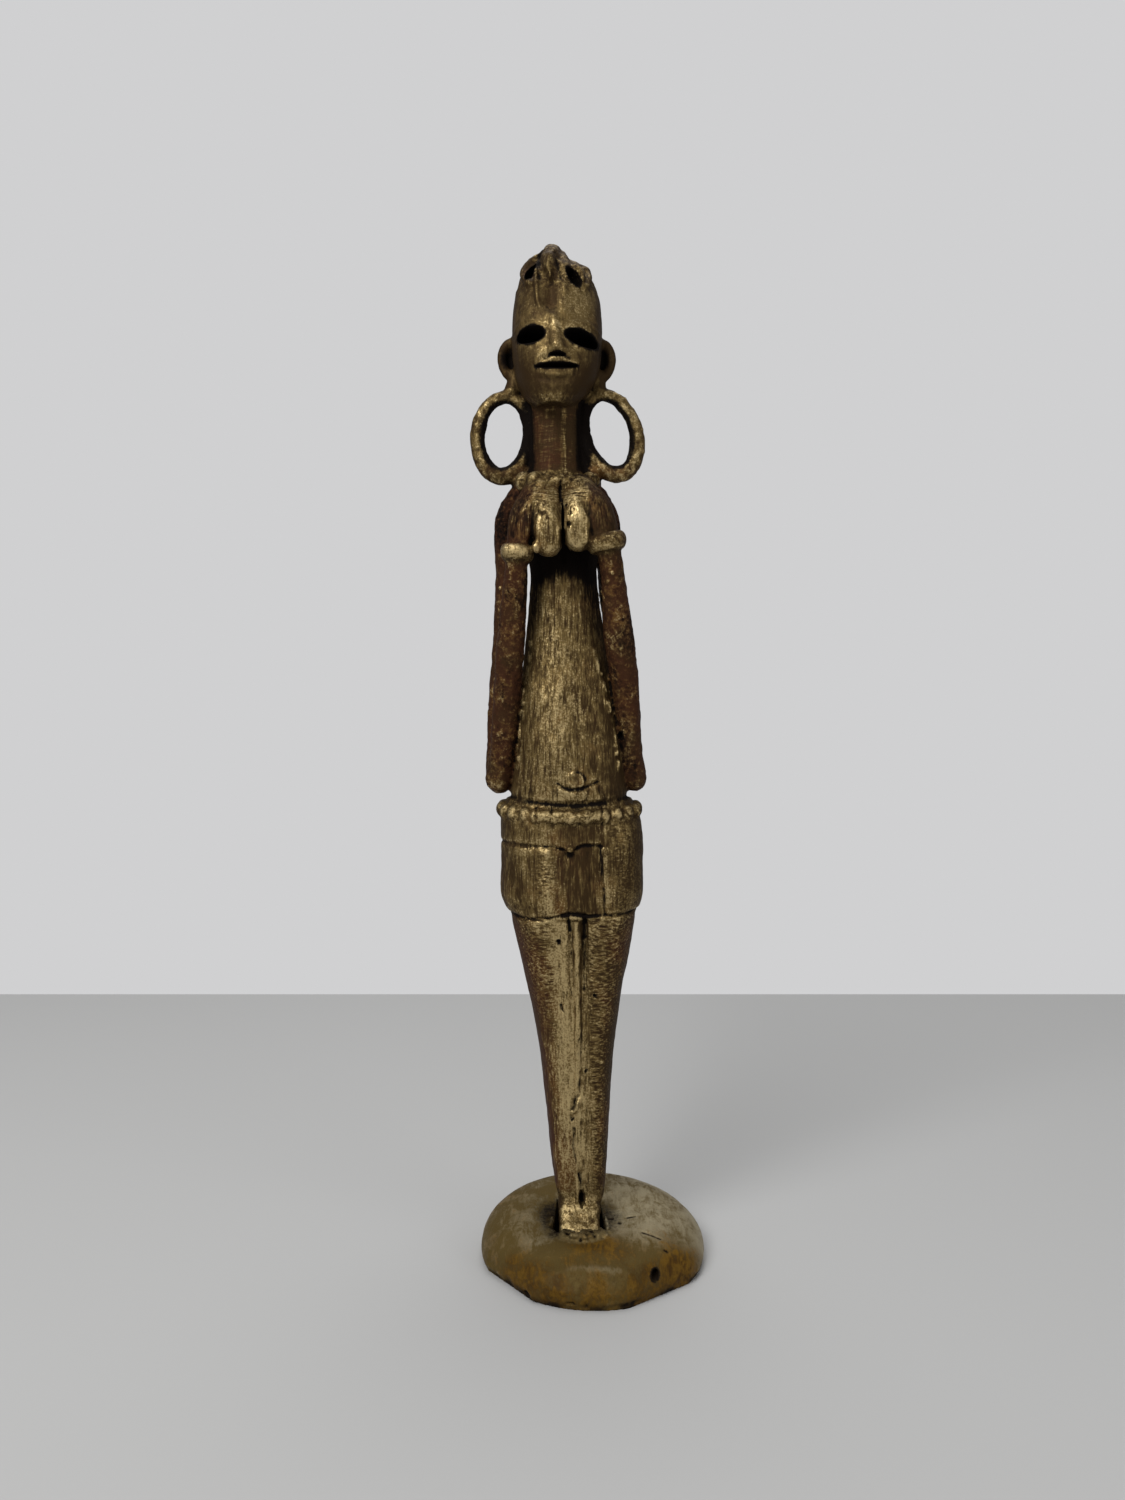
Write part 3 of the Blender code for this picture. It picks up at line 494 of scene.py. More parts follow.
# Lines on the front, raised or cut (below 0): height, half width, blackness, corners as (x, z)
lines = {
    "hem": (-0.45, 0.34, 0.75, [(-15, 73.0), (-13, 72.9), (-10, 72.6), (-7.2, 72.8), (-4.6, 72.9),
                                (-2.6, 73.5), (-0.8, 73.9), (1.2, 73.8), (3.1, 73.4), (7.0, 73.6),
                                (12.7, 73.6), (15.5, 73.8)]),
    "hemPanel": (-0.3, 0.5, 0.6, [(-2.2, 73.5), (-0.8, 73.7), (1.2, 73.6), (3.1, 73.2), (5.0, 73.3)]),
    "waistLeft": (-0.38, 0.36, 0.6, [(-15.6, 88.6), (-11.8, 88.4), (-8, 88.2), (-4.0, 88.3), (-1.8, 87.7)]),
    "waistRight": (-0.6, 0.40, 0.85, [(1.4, 88.1), (3.0, 88.5), (6.4, 88.4)]),
    "knotUnder": (-0.25, 0.26, 0.4, [(-1.8, 87.8), (-1.2, 86.8), (-0.2, 86.3), (0.9, 86.7), (1.5, 87.8)]),
    "knotFold": (-0.25, 0.7, 0.25, [(-0.6, 86.2), (-2.6, 84.8), (-3.8, 82.0), (-3.4, 78.0), (-3.6, 74.6)]),
    "foldA": (0.07, 0.8, 0.0, [(-1.4, 85.0), (-0.9, 81.0), (-1.3, 76.0)]),
    "foldB": (-0.10, 0.5, 0.15, [(0.2, 86.0), (0.6, 81.0), (0.1, 75.5)]),
    "foldC": (0.14, 0.5, 0.0, [(1.6, 86.5), (2.0, 80.0), (1.4, 75.0)]),
    "foldD": (-0.16, 0.5, 0.3, [(3.6, 86.8), (3.9, 80.0), (3.6, 75.0)]),
    "flap": (-0.45, 0.28, 0.9, [(6.3, 88.2), (6.4, 86.0), (6.6, 83.0), (6.85, 79.0), (7.05, 73.7)]),
    "leftLap": (0.30, 1.3, 0.0, [(-5.0, 86.5), (-5.2, 80.0), (-4.4, 75.5)]),
    "waistRoll": (0.12, 0.9, 0.0, [(-14, 86.6), (-8, 86.4), (-5, 86.6)]),
    "bandLeft": (-0.4, 0.26, 0.5, [(-7.1, 96.2), (-7.2, 93.0)]),
    "bandInner": (-0.4, 0.24, 0.6, [(-3.8, 96.2), (-3.9, 94.2)]),
    "bandRight": (-0.4, 0.26, 0.5, [(6.9, 96.2), (6.8, 93.0)]),
    "navelSmile": (-0.38, 0.38, 0.65, [(-2.4, 101.5), (-1.2, 100.6), (0.4, 100.1), (2.4, 100.3),
                                       (4.2, 101.0), (6.1, 101.8)]),
    "navelRoll": (0.22, 0.8, 0.0, [(-2.0, 99.8), (0.4, 99.0), (3.4, 99.4)]),
    "navelOver": (-0.35, 0.4, 0.8, [(1.6, 103.9), (2.6, 103.7), (3.5, 102.9), (3.6, 101.8)]),
    "grooveRight": (-0.5, 0.5, 0.8, [(2.7, 73.4), (2.7, 70.5), (2.6, 68.5)]),
    "grooveRightMid": (-0.3, 0.6, 0.35, [(2.6, 68.5), (2.4, 62.0), (2.1, 57.0)]),
    "grooveRightLow": (-0.16, 0.7, 0.18, [(2.1, 57.0), (1.8, 50.0), (1.6, 44.0), (1.5, 36.0)]),
    "grooveLeft": (-0.4, 0.32, 0.55, [(-0.9, 73.6), (-0.75, 71.6), (-0.5, 70.0)]),
    "grooveLeftLow": (-0.10, 0.6, 0.04, [(-0.5, 70.0), (-0.6, 57.0), (-0.7, 44.0)]),
    "ridge": (0.2, 0.4, 0.0, [(0.9, 72.0), (0.8, 68.5), (0.6, 54.0), (0.3, 40.0), (0.0, 30.0), (0.1, 16.0)]),
    "tear": (-0.35, 0.28, 0.6, [(-2.9, 53.7), (-2.7, 52.6), (-2.2, 51.9)]),
    "tearEdge": (0.25, 0.3, 0.0, [(-2.3, 53.4), (-2.1, 52.5), (-1.7, 51.8)]),
    "nickSide": (-0.5, 0.30, 0.8, [(-1.1, 30.2), (-0.6, 31.4), (-0.2, 32.8), (0.5, 33.3)]),
    "shinCurl": (-0.35, 0.3, 0.6, [(-1.4, 28.6), (-1.2, 27.6), (-0.8, 28.2)]),
    "shinCrack": (-0.3, 0.3, 0.5, [(-0.6, 26.0), (-1.1, 22.0), (-0.4, 18.0), (0.3, 14.0)]),
    "handLeft": (-0.4, 0.5, 0.5, [(-5.6, 159.6), (-6.2, 157.0), (-6.3, 154.4), (-6.2, 151.5)]),
    "handLeftFold": (-0.25, 0.45, 0.15, [(-9.4, 156.2), (-8.0, 157.2), (-6.4, 158.4)]),
    "handRight": (-0.2, 0.6, 0.4, [(5.2, 159.0), (5.4, 156.0), (5.5, 153.6)]),
    "shoulderLeft": (-0.3, 0.6, 0.3, [(-5.2, 163.6), (-7.8, 161.2), (-9.6, 157.6), (-10.4, 153.0)]),
    "breastScratch": (-0.3, 0.25, 0.6, [(-5.0, 157.9), (-4.2, 157.1), (-3.6, 157.6)]),
    "slitTop": (-0.5, 0.24, 0.9, [(-0.2, 164.6), (-0.3, 162.5), (-0.15, 160.0)]),
    "browLeft": (0.13, 0.35, 0.0, [(-9.2, 196.2), (-7.4, 197.5), (-5.2, 197.5), (-3.0, 196.4)]),
    "browRight": (0.13, 0.35, 0.0, [(1.6, 195.4), (4.0, 196.6), (6.4, 197.0), (8.6, 195.4)]),
    "cheekLeft": (0.13, 0.4, 0.0, [(-2.2, 191.6), (-3.6, 190.4), (-4.6, 188.6)]),
    "cheekRight": (0.13, 0.4, 0.0, [(1.8, 191.4), (3.4, 190.2), (4.4, 188.8)]),
    "chinLine": (0.08, 0.4, 0.0, [(-4.0, 184.4), (-1.2, 183.6), (2.4, 184.2)]),
    "chinGroove": (-0.2, 0.5, 0.25, [(-3.6, 185.2), (-1.0, 184.6), (2.6, 185.2)]),
    "furrowEnd": (-0.2, 0.4, 0.35, [(-2.6, 200.4), (-1.4, 199.2), (0.0, 199.8)]),
    "cleft": (-0.5, 0.65, 0.55, [(0.2, 15.5), (0.5, 12.0), (0.7, 9.6)]),
    "slitLow": (-0.5, 0.45, 1.0, [(0.1, 153.6), (0.2, 150.0), (0.2, 148.5)]),
    "hairEdge": (-0.35, 0.4, 0.7, [(-3.5, 212.6), (-3.8, 210.0), (-3.6, 206.4)]),
    "hairRidge": (0.3, 0.45, 0.0, [(-1.6, 211.4), (-1.8, 208.6), (-1.1, 206.8)]),
    "hairGroove": (-0.3, 0.4, 0.6, [(-0.2, 212.2), (0.3, 209.2), (0.8, 206.4)]),
    "capLeft": (-0.25, 0.3, 0.7, [(-2.6, 214.4), (-2.9, 213.4), (-3.8, 212.4)]),
    "curl": (0.3, 0.35, 0.0, [(3.8, 210.6), (5.0, 208.4), (5.4, 206.4)]),
    "noseShade": (-0.2, 0.42, 0.85, [(-2.9, 189.0), (-1.7, 189.7), (-0.4, 190.1), (1.0, 189.7),
                                     (2.2, 189.1)]),
    "furrow": (-0.75, 1.5, 0.0, [(-1.45, 206.6), (-1.3, 200.8)]),
    "neckRidge": (0.14, 0.3, 0.0, [(0.9, 168.0), (0.8, 174.0), (0.5, 180.0)]),
    "mouthMark": (-0.25, 0.25, 0.6, [(3.4, 187.0), (3.3, 186.0)]),
}
# Rough ridges of metal left where the arms meet the body, as (x, z)
burrs = [[(-7.4, 131.5), (-8.8, 124.0), (-10.0, 114.0), (-10.9, 104.5)],
         [(6.2, 129.5), (8.4, 121.0), (9.8, 112.0), (10.8, 104.0)],
         [(7.6, 141.8), (7.9, 140.2)], [(8.8, 148.2), (9.5, 146.4), (9.9, 144.6)],
         [(9.4, 144.8), (8.8, 143.0), (8.4, 141.4)], [(-13.9, 143.4), (-13.7, 141.8)]]


# Grain of the cast skin by region: height in millimetres, grain size along x, y, z, seed
figureGrain = {
    "skin": [(0.12, 8.0, 1), (0.08, 3.6, 2), (0.045, 1.6, 3), (0.03, 0.8, 4)],
    "rough": [(0.10, (1.1, 1.1, 2.2), 6), (0.09, 0.8, 7)],
    "strokes": [(0.05, (0.9, 0.9, 7.0), 5)],
    "feet": [(0.20, 2.4, 8), (0.09, 0.9, 9)],
    "hair": [(0.16, 1.5, 11), (0.10, 0.9, 12)],
    "brow": [(0.16, 0.9, 13)],
    "breasts": [(0.08, (0.9, 1.5, 3.0), 10), (0.05, (0.6, 1.0, 1.4), 14)],
    "ridge": [(0.16, (0.9, 0.9, 1.8), 16)],
}
crumbGrain = [(1.0, 0.9, 15)]
# Tones of whole regions
regionTones = {
    "wearAndLighting": {"legs": 0.10, "skirt": -0.04, "breasts": -0.02, "hands": -0.34, "bareArm": -0.30,
             "neck": -0.42, "head": -0.02, "rings": 0.12, "collar": -0.10},
    "rust": {"bareArm": 0.50, "hands": 0.35, "neck": 0.15, "head": -0.12},
    "patinaAndShade": {"hands": 0.30, "rings": -0.40, "feet": -0.25},
    "grit": {"arm": 1.0, "feet": 1.0, "hoop": 1.0, "belt": 1.0, "rings": 0.6, "head": 0.35},
    "calm": {"hoop": 0.75, "feet": 0.6},
}
# Blurred patches: tone, region, strength, x, half width, z, half height
endless = math.inf
patches = [
    # painted highlight band down the left thigh
    ("wearAndLighting", "legs", 0.30, -3.0, 1.8, 0, endless),
    ("wearAndLighting", "legs", -0.40, -1.8, 1.5, 17, 6),
    ("rust", "legs", 0.30, -1.8, 1.6, 18, 8),
    ("wearAndLighting", "skirt", 0.16, -5.0, 1.8, 0, endless),
    ("rust", "skirt", 0.25, -2.8, 1.4, 0, endless),
    # painted highlight down the left of the belly
    ("wearAndLighting", "belly", 0.16, -2.2, 3.5, 0, endless),
    ("patinaAndShade", "belly", 0.25, 0, endless, 99.6, 1.6),
    ("wearAndLighting", "breasts", 0.24, 2.6, 1.5, 0, endless),
    ("wearAndLighting", "neck", 0.42, 0.8, 0.6, 0, endless),
    ("wearAndLighting", "head", -0.22, 0, endless, 184.5, 2.6),
    ("rust", "head", 0.35, 0, endless, 181.5, 2.2),
    # painted highlight on the cheek beside the nose
    ("wearAndLighting", "face", 0.35, -3.4, 1.2, 190.0, 1.4),
    ("wearAndLighting", "face", 0.30, 5.0, 3.5, 201.5, 4.0),
    ("wearAndLighting", "head", -0.35, -6.0, 1.8, 209.0, 3.0),
    ("rust", "head", 0.50, -5.6, 1.6, 208.6, 2.4),
    # the ear hollows darkened: patina with painted shade
    ("patinaAndShade", "front", 0.95, -11.4, 1.3, 191.8, 2.3),
    ("patinaAndShade", "front", 0.95, 9.9, 1.3, 191.8, 2.3),
]
# Tones that grow from start to end along x (0) or z (2): tone, region, strength, axis, start, end
fades = [
    ("wearAndLighting", "legsFront", -0.06, 0, -5, -9),
    # painted shade: the belly darker on its right and towards the breasts
    ("wearAndLighting", "belly", -0.10, 0, 2, 6),
    ("wearAndLighting", "belly", -0.30, 2, 132, 147),
    ("wearAndLighting", "bareArm", -0.10, 2, 150, 156),
    ("patinaAndShade", "arm", 0.12, 2, 150, 156),
    ("wearAndLighting", "hoop", -0.10, 0, 0, -2),
    ("rust", "hoop", 0.40, 2, 171.5, 168.5),
    ("wearAndLighting", "head", -0.06, 0, -3, -7),
    ("wearAndLighting", "head", -0.10, 2, 205, 208),
    ("grit", "head", 0.60, 2, 204, 207),
]


def onFront(normals):
    # 1 where the skin faces the viewer, 0 where it faces away
    return soft(normals[:, 1], 0.15, -0.25)


def fromFront(p, x, z, turn):
    # places seen from the front, counted from a middle along the two axes of a turned oval
    c, s = math.cos(math.radians(turn)), math.sin(math.radians(turn))
    dx, dz = p[:, 0] - x, p[:, 2] - z
    return dx * c + dz * s, dz * c - dx * s


def hoopShares(p):
    # share of each hoop, and of the side that faces into it, which takes painted shade
    x, y, z = p.T
    hoops, inner = np.zeros(len(p)), np.zeros(len(p))
    room = soft(np.abs(x + 1), 4.6, 5.4) * soft(np.abs(y), 2.4, 2.1) * band(z, 165.5, 167.0, 185.0, 186.0)
    for hoopX, hoopZ, wide, high, turn in figure["hoops"]:
        u, w = fromFront(p, hoopX, hoopZ, turn)
        far = np.hypot(u / wide, w / high)
        own = band(far, 0.55, 0.65, 1.3, 1.4) * room
        hoops = np.maximum(hoops, own)
        inner = np.maximum(inner, own * soft(far, 0.98, 0.84))
    return hoops, inner


def wrapPanel(x, z):
    # the sunk panel of the wrap up to the flap, and the lip of the flap beside it
    flap = np.array(lines["flap"][-1])[::-1]
    edge = np.interp(z, flap[:, 1], flap[:, 0])
    tall = band(z, 73.6, 74.2, 87.7, 88.3)
    return soft(x, -4.2, -0.9) * soft(edge - x, 0, 0.3) * tall, bell(x, edge + 1.0, 1.1) * tall


def beltTop(x):
    # height of the belt's upper edge, which sags in the middle: 96.8 + 1.3 (x / 13)^2
    return 96.8 + 1.3 * (x / 13) ** 2


def crumbs(p):
    # uneven crumbs of metal: (0.5 + noise)^2, cut to 0 to 1
    return np.clip(0.5 + layered(p, crumbGrain), 0, 1) ** 2


def figureRelief(p, normals):
    # height in millimetres by which the cast skin rises or sinks
    x, z = p[:, 0], p[:, 2]
    flat = p[:, [0, 2]]
    front = onFront(normals)
    arm = armShare(p)
    hoop, _ = hoopShares(p)
    masks = {
        "skin": 1.0,
        "rough": np.clip(arm + hoop + band(z, 164, 165, 167, 168), 0, 1),
        "strokes": soft(z, 15, 25),
        "feet": soft(z, 13.5, 11.5),
        "hair": soft(z, 203.5, 206.0) * (1 - hoop),
        "brow": bell(x, -0.2, 2.4) * bell(z, 196.6, 1.6) * front,
        "breasts": bell(x, 0, 6.5) * bell(z, 155, 7) * front,
        "ridge": bell(x, 0.8, 1.2) * soft(z, 73, 72) * front,
    }
    rise = sum(mask * layered(p, figureGrain[name]) for name, mask in masks.items())
    panel, lip = wrapPanel(x, z)
    rise += front * (0.3 * lip - 0.55 * panel * (0.6 + 0.4 * soft(x, 1.0, 4.0)))
    for height, width, _, corners in lines.values():
        rise += height * bell(nearLine(flat, corners), 0, width) * front
    burr = 0.5 * crumbs(p) * front
    for corners in burrs:
        rise += burr * bell(nearLine(flat, corners), 0, 0.36)
    # the groove over the belt, and behind the hem and the waist crease
    rise -= 0.45 * bell(z, beltTop(x) + 0.2, 0.6) * (1 - arm)
    rise -= (1 - front) * (0.45 * bell(z, 73.2, 0.4) + 0.35 * bell(z, 88.4, 0.45) * soft(x, 12, 9))
    return rise


def fileFlat(p):
    # the tips of the breasts are filed back: only a share of what stands proud is left
    zone = bell(p[:, 2], 154.5, 6) * soft(np.abs(p[:, 0]), 6.5, 5.5)
    proud = np.minimum(p[:, 1] - figure["filedAt"], 0)
    p[:, 1] -= zone * proud * (1 - figure["filedShare"])
    return p


def inHollow(p, hollow, margin):
    # blackness inside an ellipsoid grown by margin, falling to 0 just outside it
    x, y, z, wide, deep, high, turn, black = hollow
    u, w = fromFront(p, x, z, turn)
    far = np.sqrt((u / (wide + margin)) ** 2 + ((p[:, 1] - y) / (deep + margin)) ** 2
                  + (w / (high + margin)) ** 2)
    return black * soft(far, 1.12, 1.0)


def figureRegions(p, normals):
    # share of every region, from 0 to 1
    x, y, z = p.T
    front = onFront(normals)
    arm = armShare(p)
    hoop, hoopInner = hoopShares(p)
    body, offHoop = np.abs(x + 0.3), 1 - hoop
    ringLeft = bell(z, 149.6 + 0.05 * (x + 9.6), 1.9) * soft(x, -6.4, -7.0)
    ringRight = bell(z, 151.6 + 0.2 * (x - 9.1), 2.0) * soft(x, 5.0, 5.6)
    rings = np.clip(1.6 * (ringLeft + ringRight) * soft(y, -6.5, -7.5), 0, 1)
    legs = soft(z, 73.6, 72.6) * soft(z, 10, 13)
    head = soft(z, 181, 183) * offHoop
    return {
        "front": front, "arm": arm, "bareArm": arm * (1 - rings), "rings": rings,
        "hoop": hoop, "hoopInner": hoopInner, "head": head, "face": head * front,
        "legs": legs, "legsFront": legs * front,
        "feet": soft(z, 12.5, 9.5),
        "skirt": band(z, 73, 74, 92, 93),
        "belt": bell(z, 94.6, 1.7),
        "belly": band(z, 97, 98, 148, 150) * (1 - arm),
        "neck": band(z, 167, 168, 180, 182) * offHoop,
        "collar": band(z, 163.6, 164.6, 166.6, 167.6) * offHoop,
        "hands": band(z, 150, 152, 163, 164.5) * soft(body, 5.4, 6.4) * front * offHoop,
        "breasts": band(z, 148, 149.5, 162, 164) * soft(body, 6.2, 5.4) * front,
    }


def figureTones(p, normals, cavity, broad):
    # rubbed tone: rubbed brass, with painted light and shade; rust: red-brown patina; hollow tone: blackened
    # hollows, with painted shade; grit: rough cast skin; calm: smoother skin; filed: slanting file marks;
    # wound: fine level lines
    x, y, z = p.T
    flat, side = p[:, [0, 2]], normals[:, 0]
    regions = figureRegions(p, normals)
    front, arm, bareArm, hoop, legs, skirt, belly, head, face, neck, feet = (regions[k] for k in (
        "front", "arm", "bareArm", "hoop", "legs", "skirt", "belly", "head", "face", "neck", "feet"))
    facing = soft(normals[:, 1], -0.2, -0.95)
    cloud, fleck = grainNoise(p, 6.0, 21), grainNoise(p, 1.3, 22)
    _, lip = wrapPanel(x, z)
    # how far out on a leg a point lies, 0 in the middle and 1 at the outline
    out = (x - figure["legsX"]) / np.interp(z, *np.array(figure["legs"]).T[:2])
    shade = np.interp(z, (20, 50), (0.48, 0.2))

    # painted light and shade: lighter where the skin faces the viewer, darker where it turns to the sides,
    # most on the right
    wearAndLighting = 0.34 + 0.20 * facing + 0.13 * cloud + 0.10 * fleck
    wearAndLighting -= front * (0.20 * soft(side, 0.25, 0.9) + 0.10 * soft(side, -0.5, -0.95))
    # lighter on convex edges: rubbed wear and painted edge highlights
    wearAndLighting += (0.45 - 0.3 * head) * soft(cavity, -0.02, -0.13)
    # on the legs a bright ridge, and painted shade down their right and left sides
    wearAndLighting += legs * ((0.15 + 0.5 * fleck) * bell(x, 0.6, 1.0) - 0.20 * soft(out, shade, shade + 0.25)
                    - 0.12 * soft(out, -0.32, -0.62) - 0.25 * soft(side, -0.72, -0.95))
    wearAndLighting += legs * front * 0.40 * bell(x, -0.6, 2.4) * soft(z, 56, 44)
    # painted light on the feet and the belt where they face the viewer
    wearAndLighting += feet * (0.32 * facing + 0.1 * fleck) + 0.12 * regions["belt"] * facing
    wearAndLighting += skirt * (0.16 * fleck * lip + 0.12 * soft(side, 0.2, 0.8)
                     - 0.34 * band(x, -4.5, 2.5, 4.7, 5.2) * front)
    wearAndLighting += bareArm * 0.36 * grainNoise(p, (1.8, 1.8, 3.4), 23)
    wearAndLighting += face * (0.26 * (1 + fleck) * bell(x, -0.2, 2.2) * bell(z, 196.2, 1.3)
                    - 0.34 * bell(x, -1.3, 1.7) * band(z, 197.6, 200.4, 204, 208))
    wearAndLighting -= head * (0.25 * soft(np.abs(x + 1), 9.4, 10.2) + 0.2 * soft(np.abs(x + 0.4), 8.6, 9.6))
    # painted highlights along the lips
    for rows in figure["lips"]:
        wearAndLighting += 0.12 * bell(nearLine(flat, np.array(rows)[:, [0, 2]]), 0, 0.4) * face
    burr = 1.1 * crumbs(p) * front
    for corners in burrs:
        wearAndLighting += burr * bell(nearLine(flat, corners), 0, 0.45)

    rust = 0.22 + 0.22 * cloud + 0.10 * fleck
    rust += legs * (0.45 * front * soft(out, -0.15, -0.7) * soft(z, 78, 64) + 0.2 * soft(out, 0.3, 0.8)
                    + 0.45 * soft(z, 34, 16) * soft(x, 0.5, -1.5))
    rust += 0.25 * face * bell(x, -1.3, 1.8) * band(z, 198.5, 200.0, 205.0, 208.0)

    # patina dark in crevices, and painted shade where the skin lies below its wide neighbourhood
    patinaAndShade = 0.75 * soft(cavity, 0.03, 0.20) + 0.65 * soft(broad, 0.3, 1.6)
    patinaAndShade *= 1 - legs * bell(x, 1.3, 2.2) * np.interp(z, (58, 70), (0.85, 0.5))
    # dark lines and hollows: patina with painted shade in the creases and cuts
    for _, width, black, corners in lines.values():
        if black:
            patinaAndShade += black * (0.75 + 0.6 * fleck) * bell(nearLine(flat, corners), 0, width) * front
    for hollow in figure["hollows"].values():
        patinaAndShade += inHollow(p, hollow, 0.12)
    # the shadow under the breasts, wider as it goes down the sides of the belly
    wide = 2.2 + 3.6 * soft(z, 148, 126)
    under = band(z, 142.5, 147.5, 153.0, 154.5) * soft(y, -8.9, -7.9)
    patinaAndShade += front * (1.1 * under * (1 - arm)
                      + 0.6 * belly * soft(np.abs(x + 0.3), wide, wide + 2.6) * soft(z, 122, 142))
    patinaAndShade += 0.55 * arm * np.clip(grainNoise(p, (2.0, 2.0, 5.0), 24), 0, 1)
    patinaAndShade += 0.6 * legs * front * bell(x, 0.7, 0.9) * np.clip(grainNoise(p, (0.8, 0.8, 1.6), 25), 0, 1)
    # painted shade on the sides of the neck, on the hoops' inner sides and where the hoops lie beside the
    # neck
    patinaAndShade += 0.9 * neck * soft(np.abs(x + 1.1), 3.8, 5.0) + 0.8 * regions["hoopInner"]
    patinaAndShade += 0.9 * hoop * soft(np.abs(x + 0.7), 8.0, 6.6) * band(z, 168, 170, 182, 184)
    # painted shade along the groove over the belt
    patinaAndShade += 0.8 * (0.8 + 0.6 * fleck) * bell(z, beltTop(x), 0.6) * (1 - arm)
    # painted shade on the arms' inner sides and where the face turns from the viewer
    patinaAndShade += 0.3 * arm * soft(-np.sign(x) * side, 0.3, 0.9) + 0.10 * face * soft(facing, 0.5, 0.1)
    patinaAndShade += 0.35 * regions["collar"] * (0.4 - fleck)

    calm = head * soft(z, 205, 203) * (1 - 0.8 * bell(x, -0.2, 2.2) * bell(z, 196.4, 1.8))
    filed = legs * (0.8 * soft(x, -2.5, -5.0) * soft(z, 40, 60) + 0.9 * soft(x, 2.6, 4.0))
    filed += skirt * (0.9 * bell(x, -5.4, 2.0) * bell(z, 81.5, 6) + 0.4 * soft(x, 7, 9))
    wound = 0.35 * neck * soft(np.abs(x + 1.1), 5.0, 4.0) + 0.7 * regions["breasts"] * soft(z, 159.0, 160.5)
    tones = {"wearAndLighting": wearAndLighting, "rust": rust, "patinaAndShade": patinaAndShade, "calm": calm, "filed": filed * front,
             "wound": wound, "grit": 0.2 + band(z, 163.5, 165, 167, 168)}
    for tone, shares in regionTones.items():
        for region, strength in shares.items():
            tones[tone] += strength * regions[region]
    for tone, region, strength, middle, wide, height, high in patches:
        tones[tone] += strength * regions[region] * bell(x, middle, wide) * bell(z, height, high)
    for tone, region, strength, axis, start, end in fades:
        tones[tone] += strength * regions[region] * soft(p[:, axis], start, end)
    return tones


def setTones(mesh, tones):
    # every tone becomes an attribute of the points, cut to 0 to 1
    for name, values in tones.items():
        layer = mesh.attributes.new(name, "FLOAT", "POINT")
        layer.data.foreach_set("value", np.clip(values, 0, 1).astype(np.float32))


def movePoints(mesh, places):
    mesh.vertices.foreach_set("co", places.astype(np.float32).ravel())
    mesh.update()


def hollowness(places, normals, edges):
    # how far the skin lies below its neighbourhood in millimetres, over a short and a long reach
    sunk = []
    for reach, blur in ((8, 2), (60, 3)):
        gap = np.sum((spread(places, edges, reach) - places) * normals, 1, keepdims=True) * 1000
        sunk.append(spread(gap, edges, blur)[:, 0])
    return sunk


def makeFigure():
    mesh = fuse("figure", makeForms(), makeHollows(), figure)
    print("figure fused:", len(mesh.polygons), "faces")
    places, normals, edges = meshArrays(mesh)
    rise = figureRelief(toRuler(places), normals)
    places = places + normals * rise[:, None] / 1000
    movePoints(mesh, toWorld(fileFlat(toRuler(places))))
    thing = newObject("figure_dense", mesh)
    thin = thing.modifiers.new("thin", "DECIMATE")
    thin.ratio = min(1.0, figure["facets"] / facetCount(mesh))
    mesh = finished(thing, "statuette_figure")
    keepInside(mesh, "figure")
    setShade(mesh)
    places, normals, edges = meshArrays(mesh)
    setTones(mesh, figureTones(toRuler(places), normals, *hollowness(places, normals, edges)))
    print("figure finished:", len(mesh.polygons), "faces")
    return newObject("statuette_figure", mesh)


def facetCount(mesh):
    # triangles: corners less two for every face
    sizes = np.empty(len(mesh.polygons), np.int32)
    mesh.polygons.foreach_get("loop_total", sizes)
    return int(np.sum(sizes - 2))


def keepInside(mesh, node):
    # the cast skin never leaves the box of the solid that it stands for
    low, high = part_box(node)
    movePoints(mesh, np.clip(meshArrays(mesh)[0], np.array(low), np.array(high)))


def setShade(mesh):
    mesh.polygons.foreach_set("use_smooth", np.ones(len(mesh.polygons), bool))
    mesh.update()


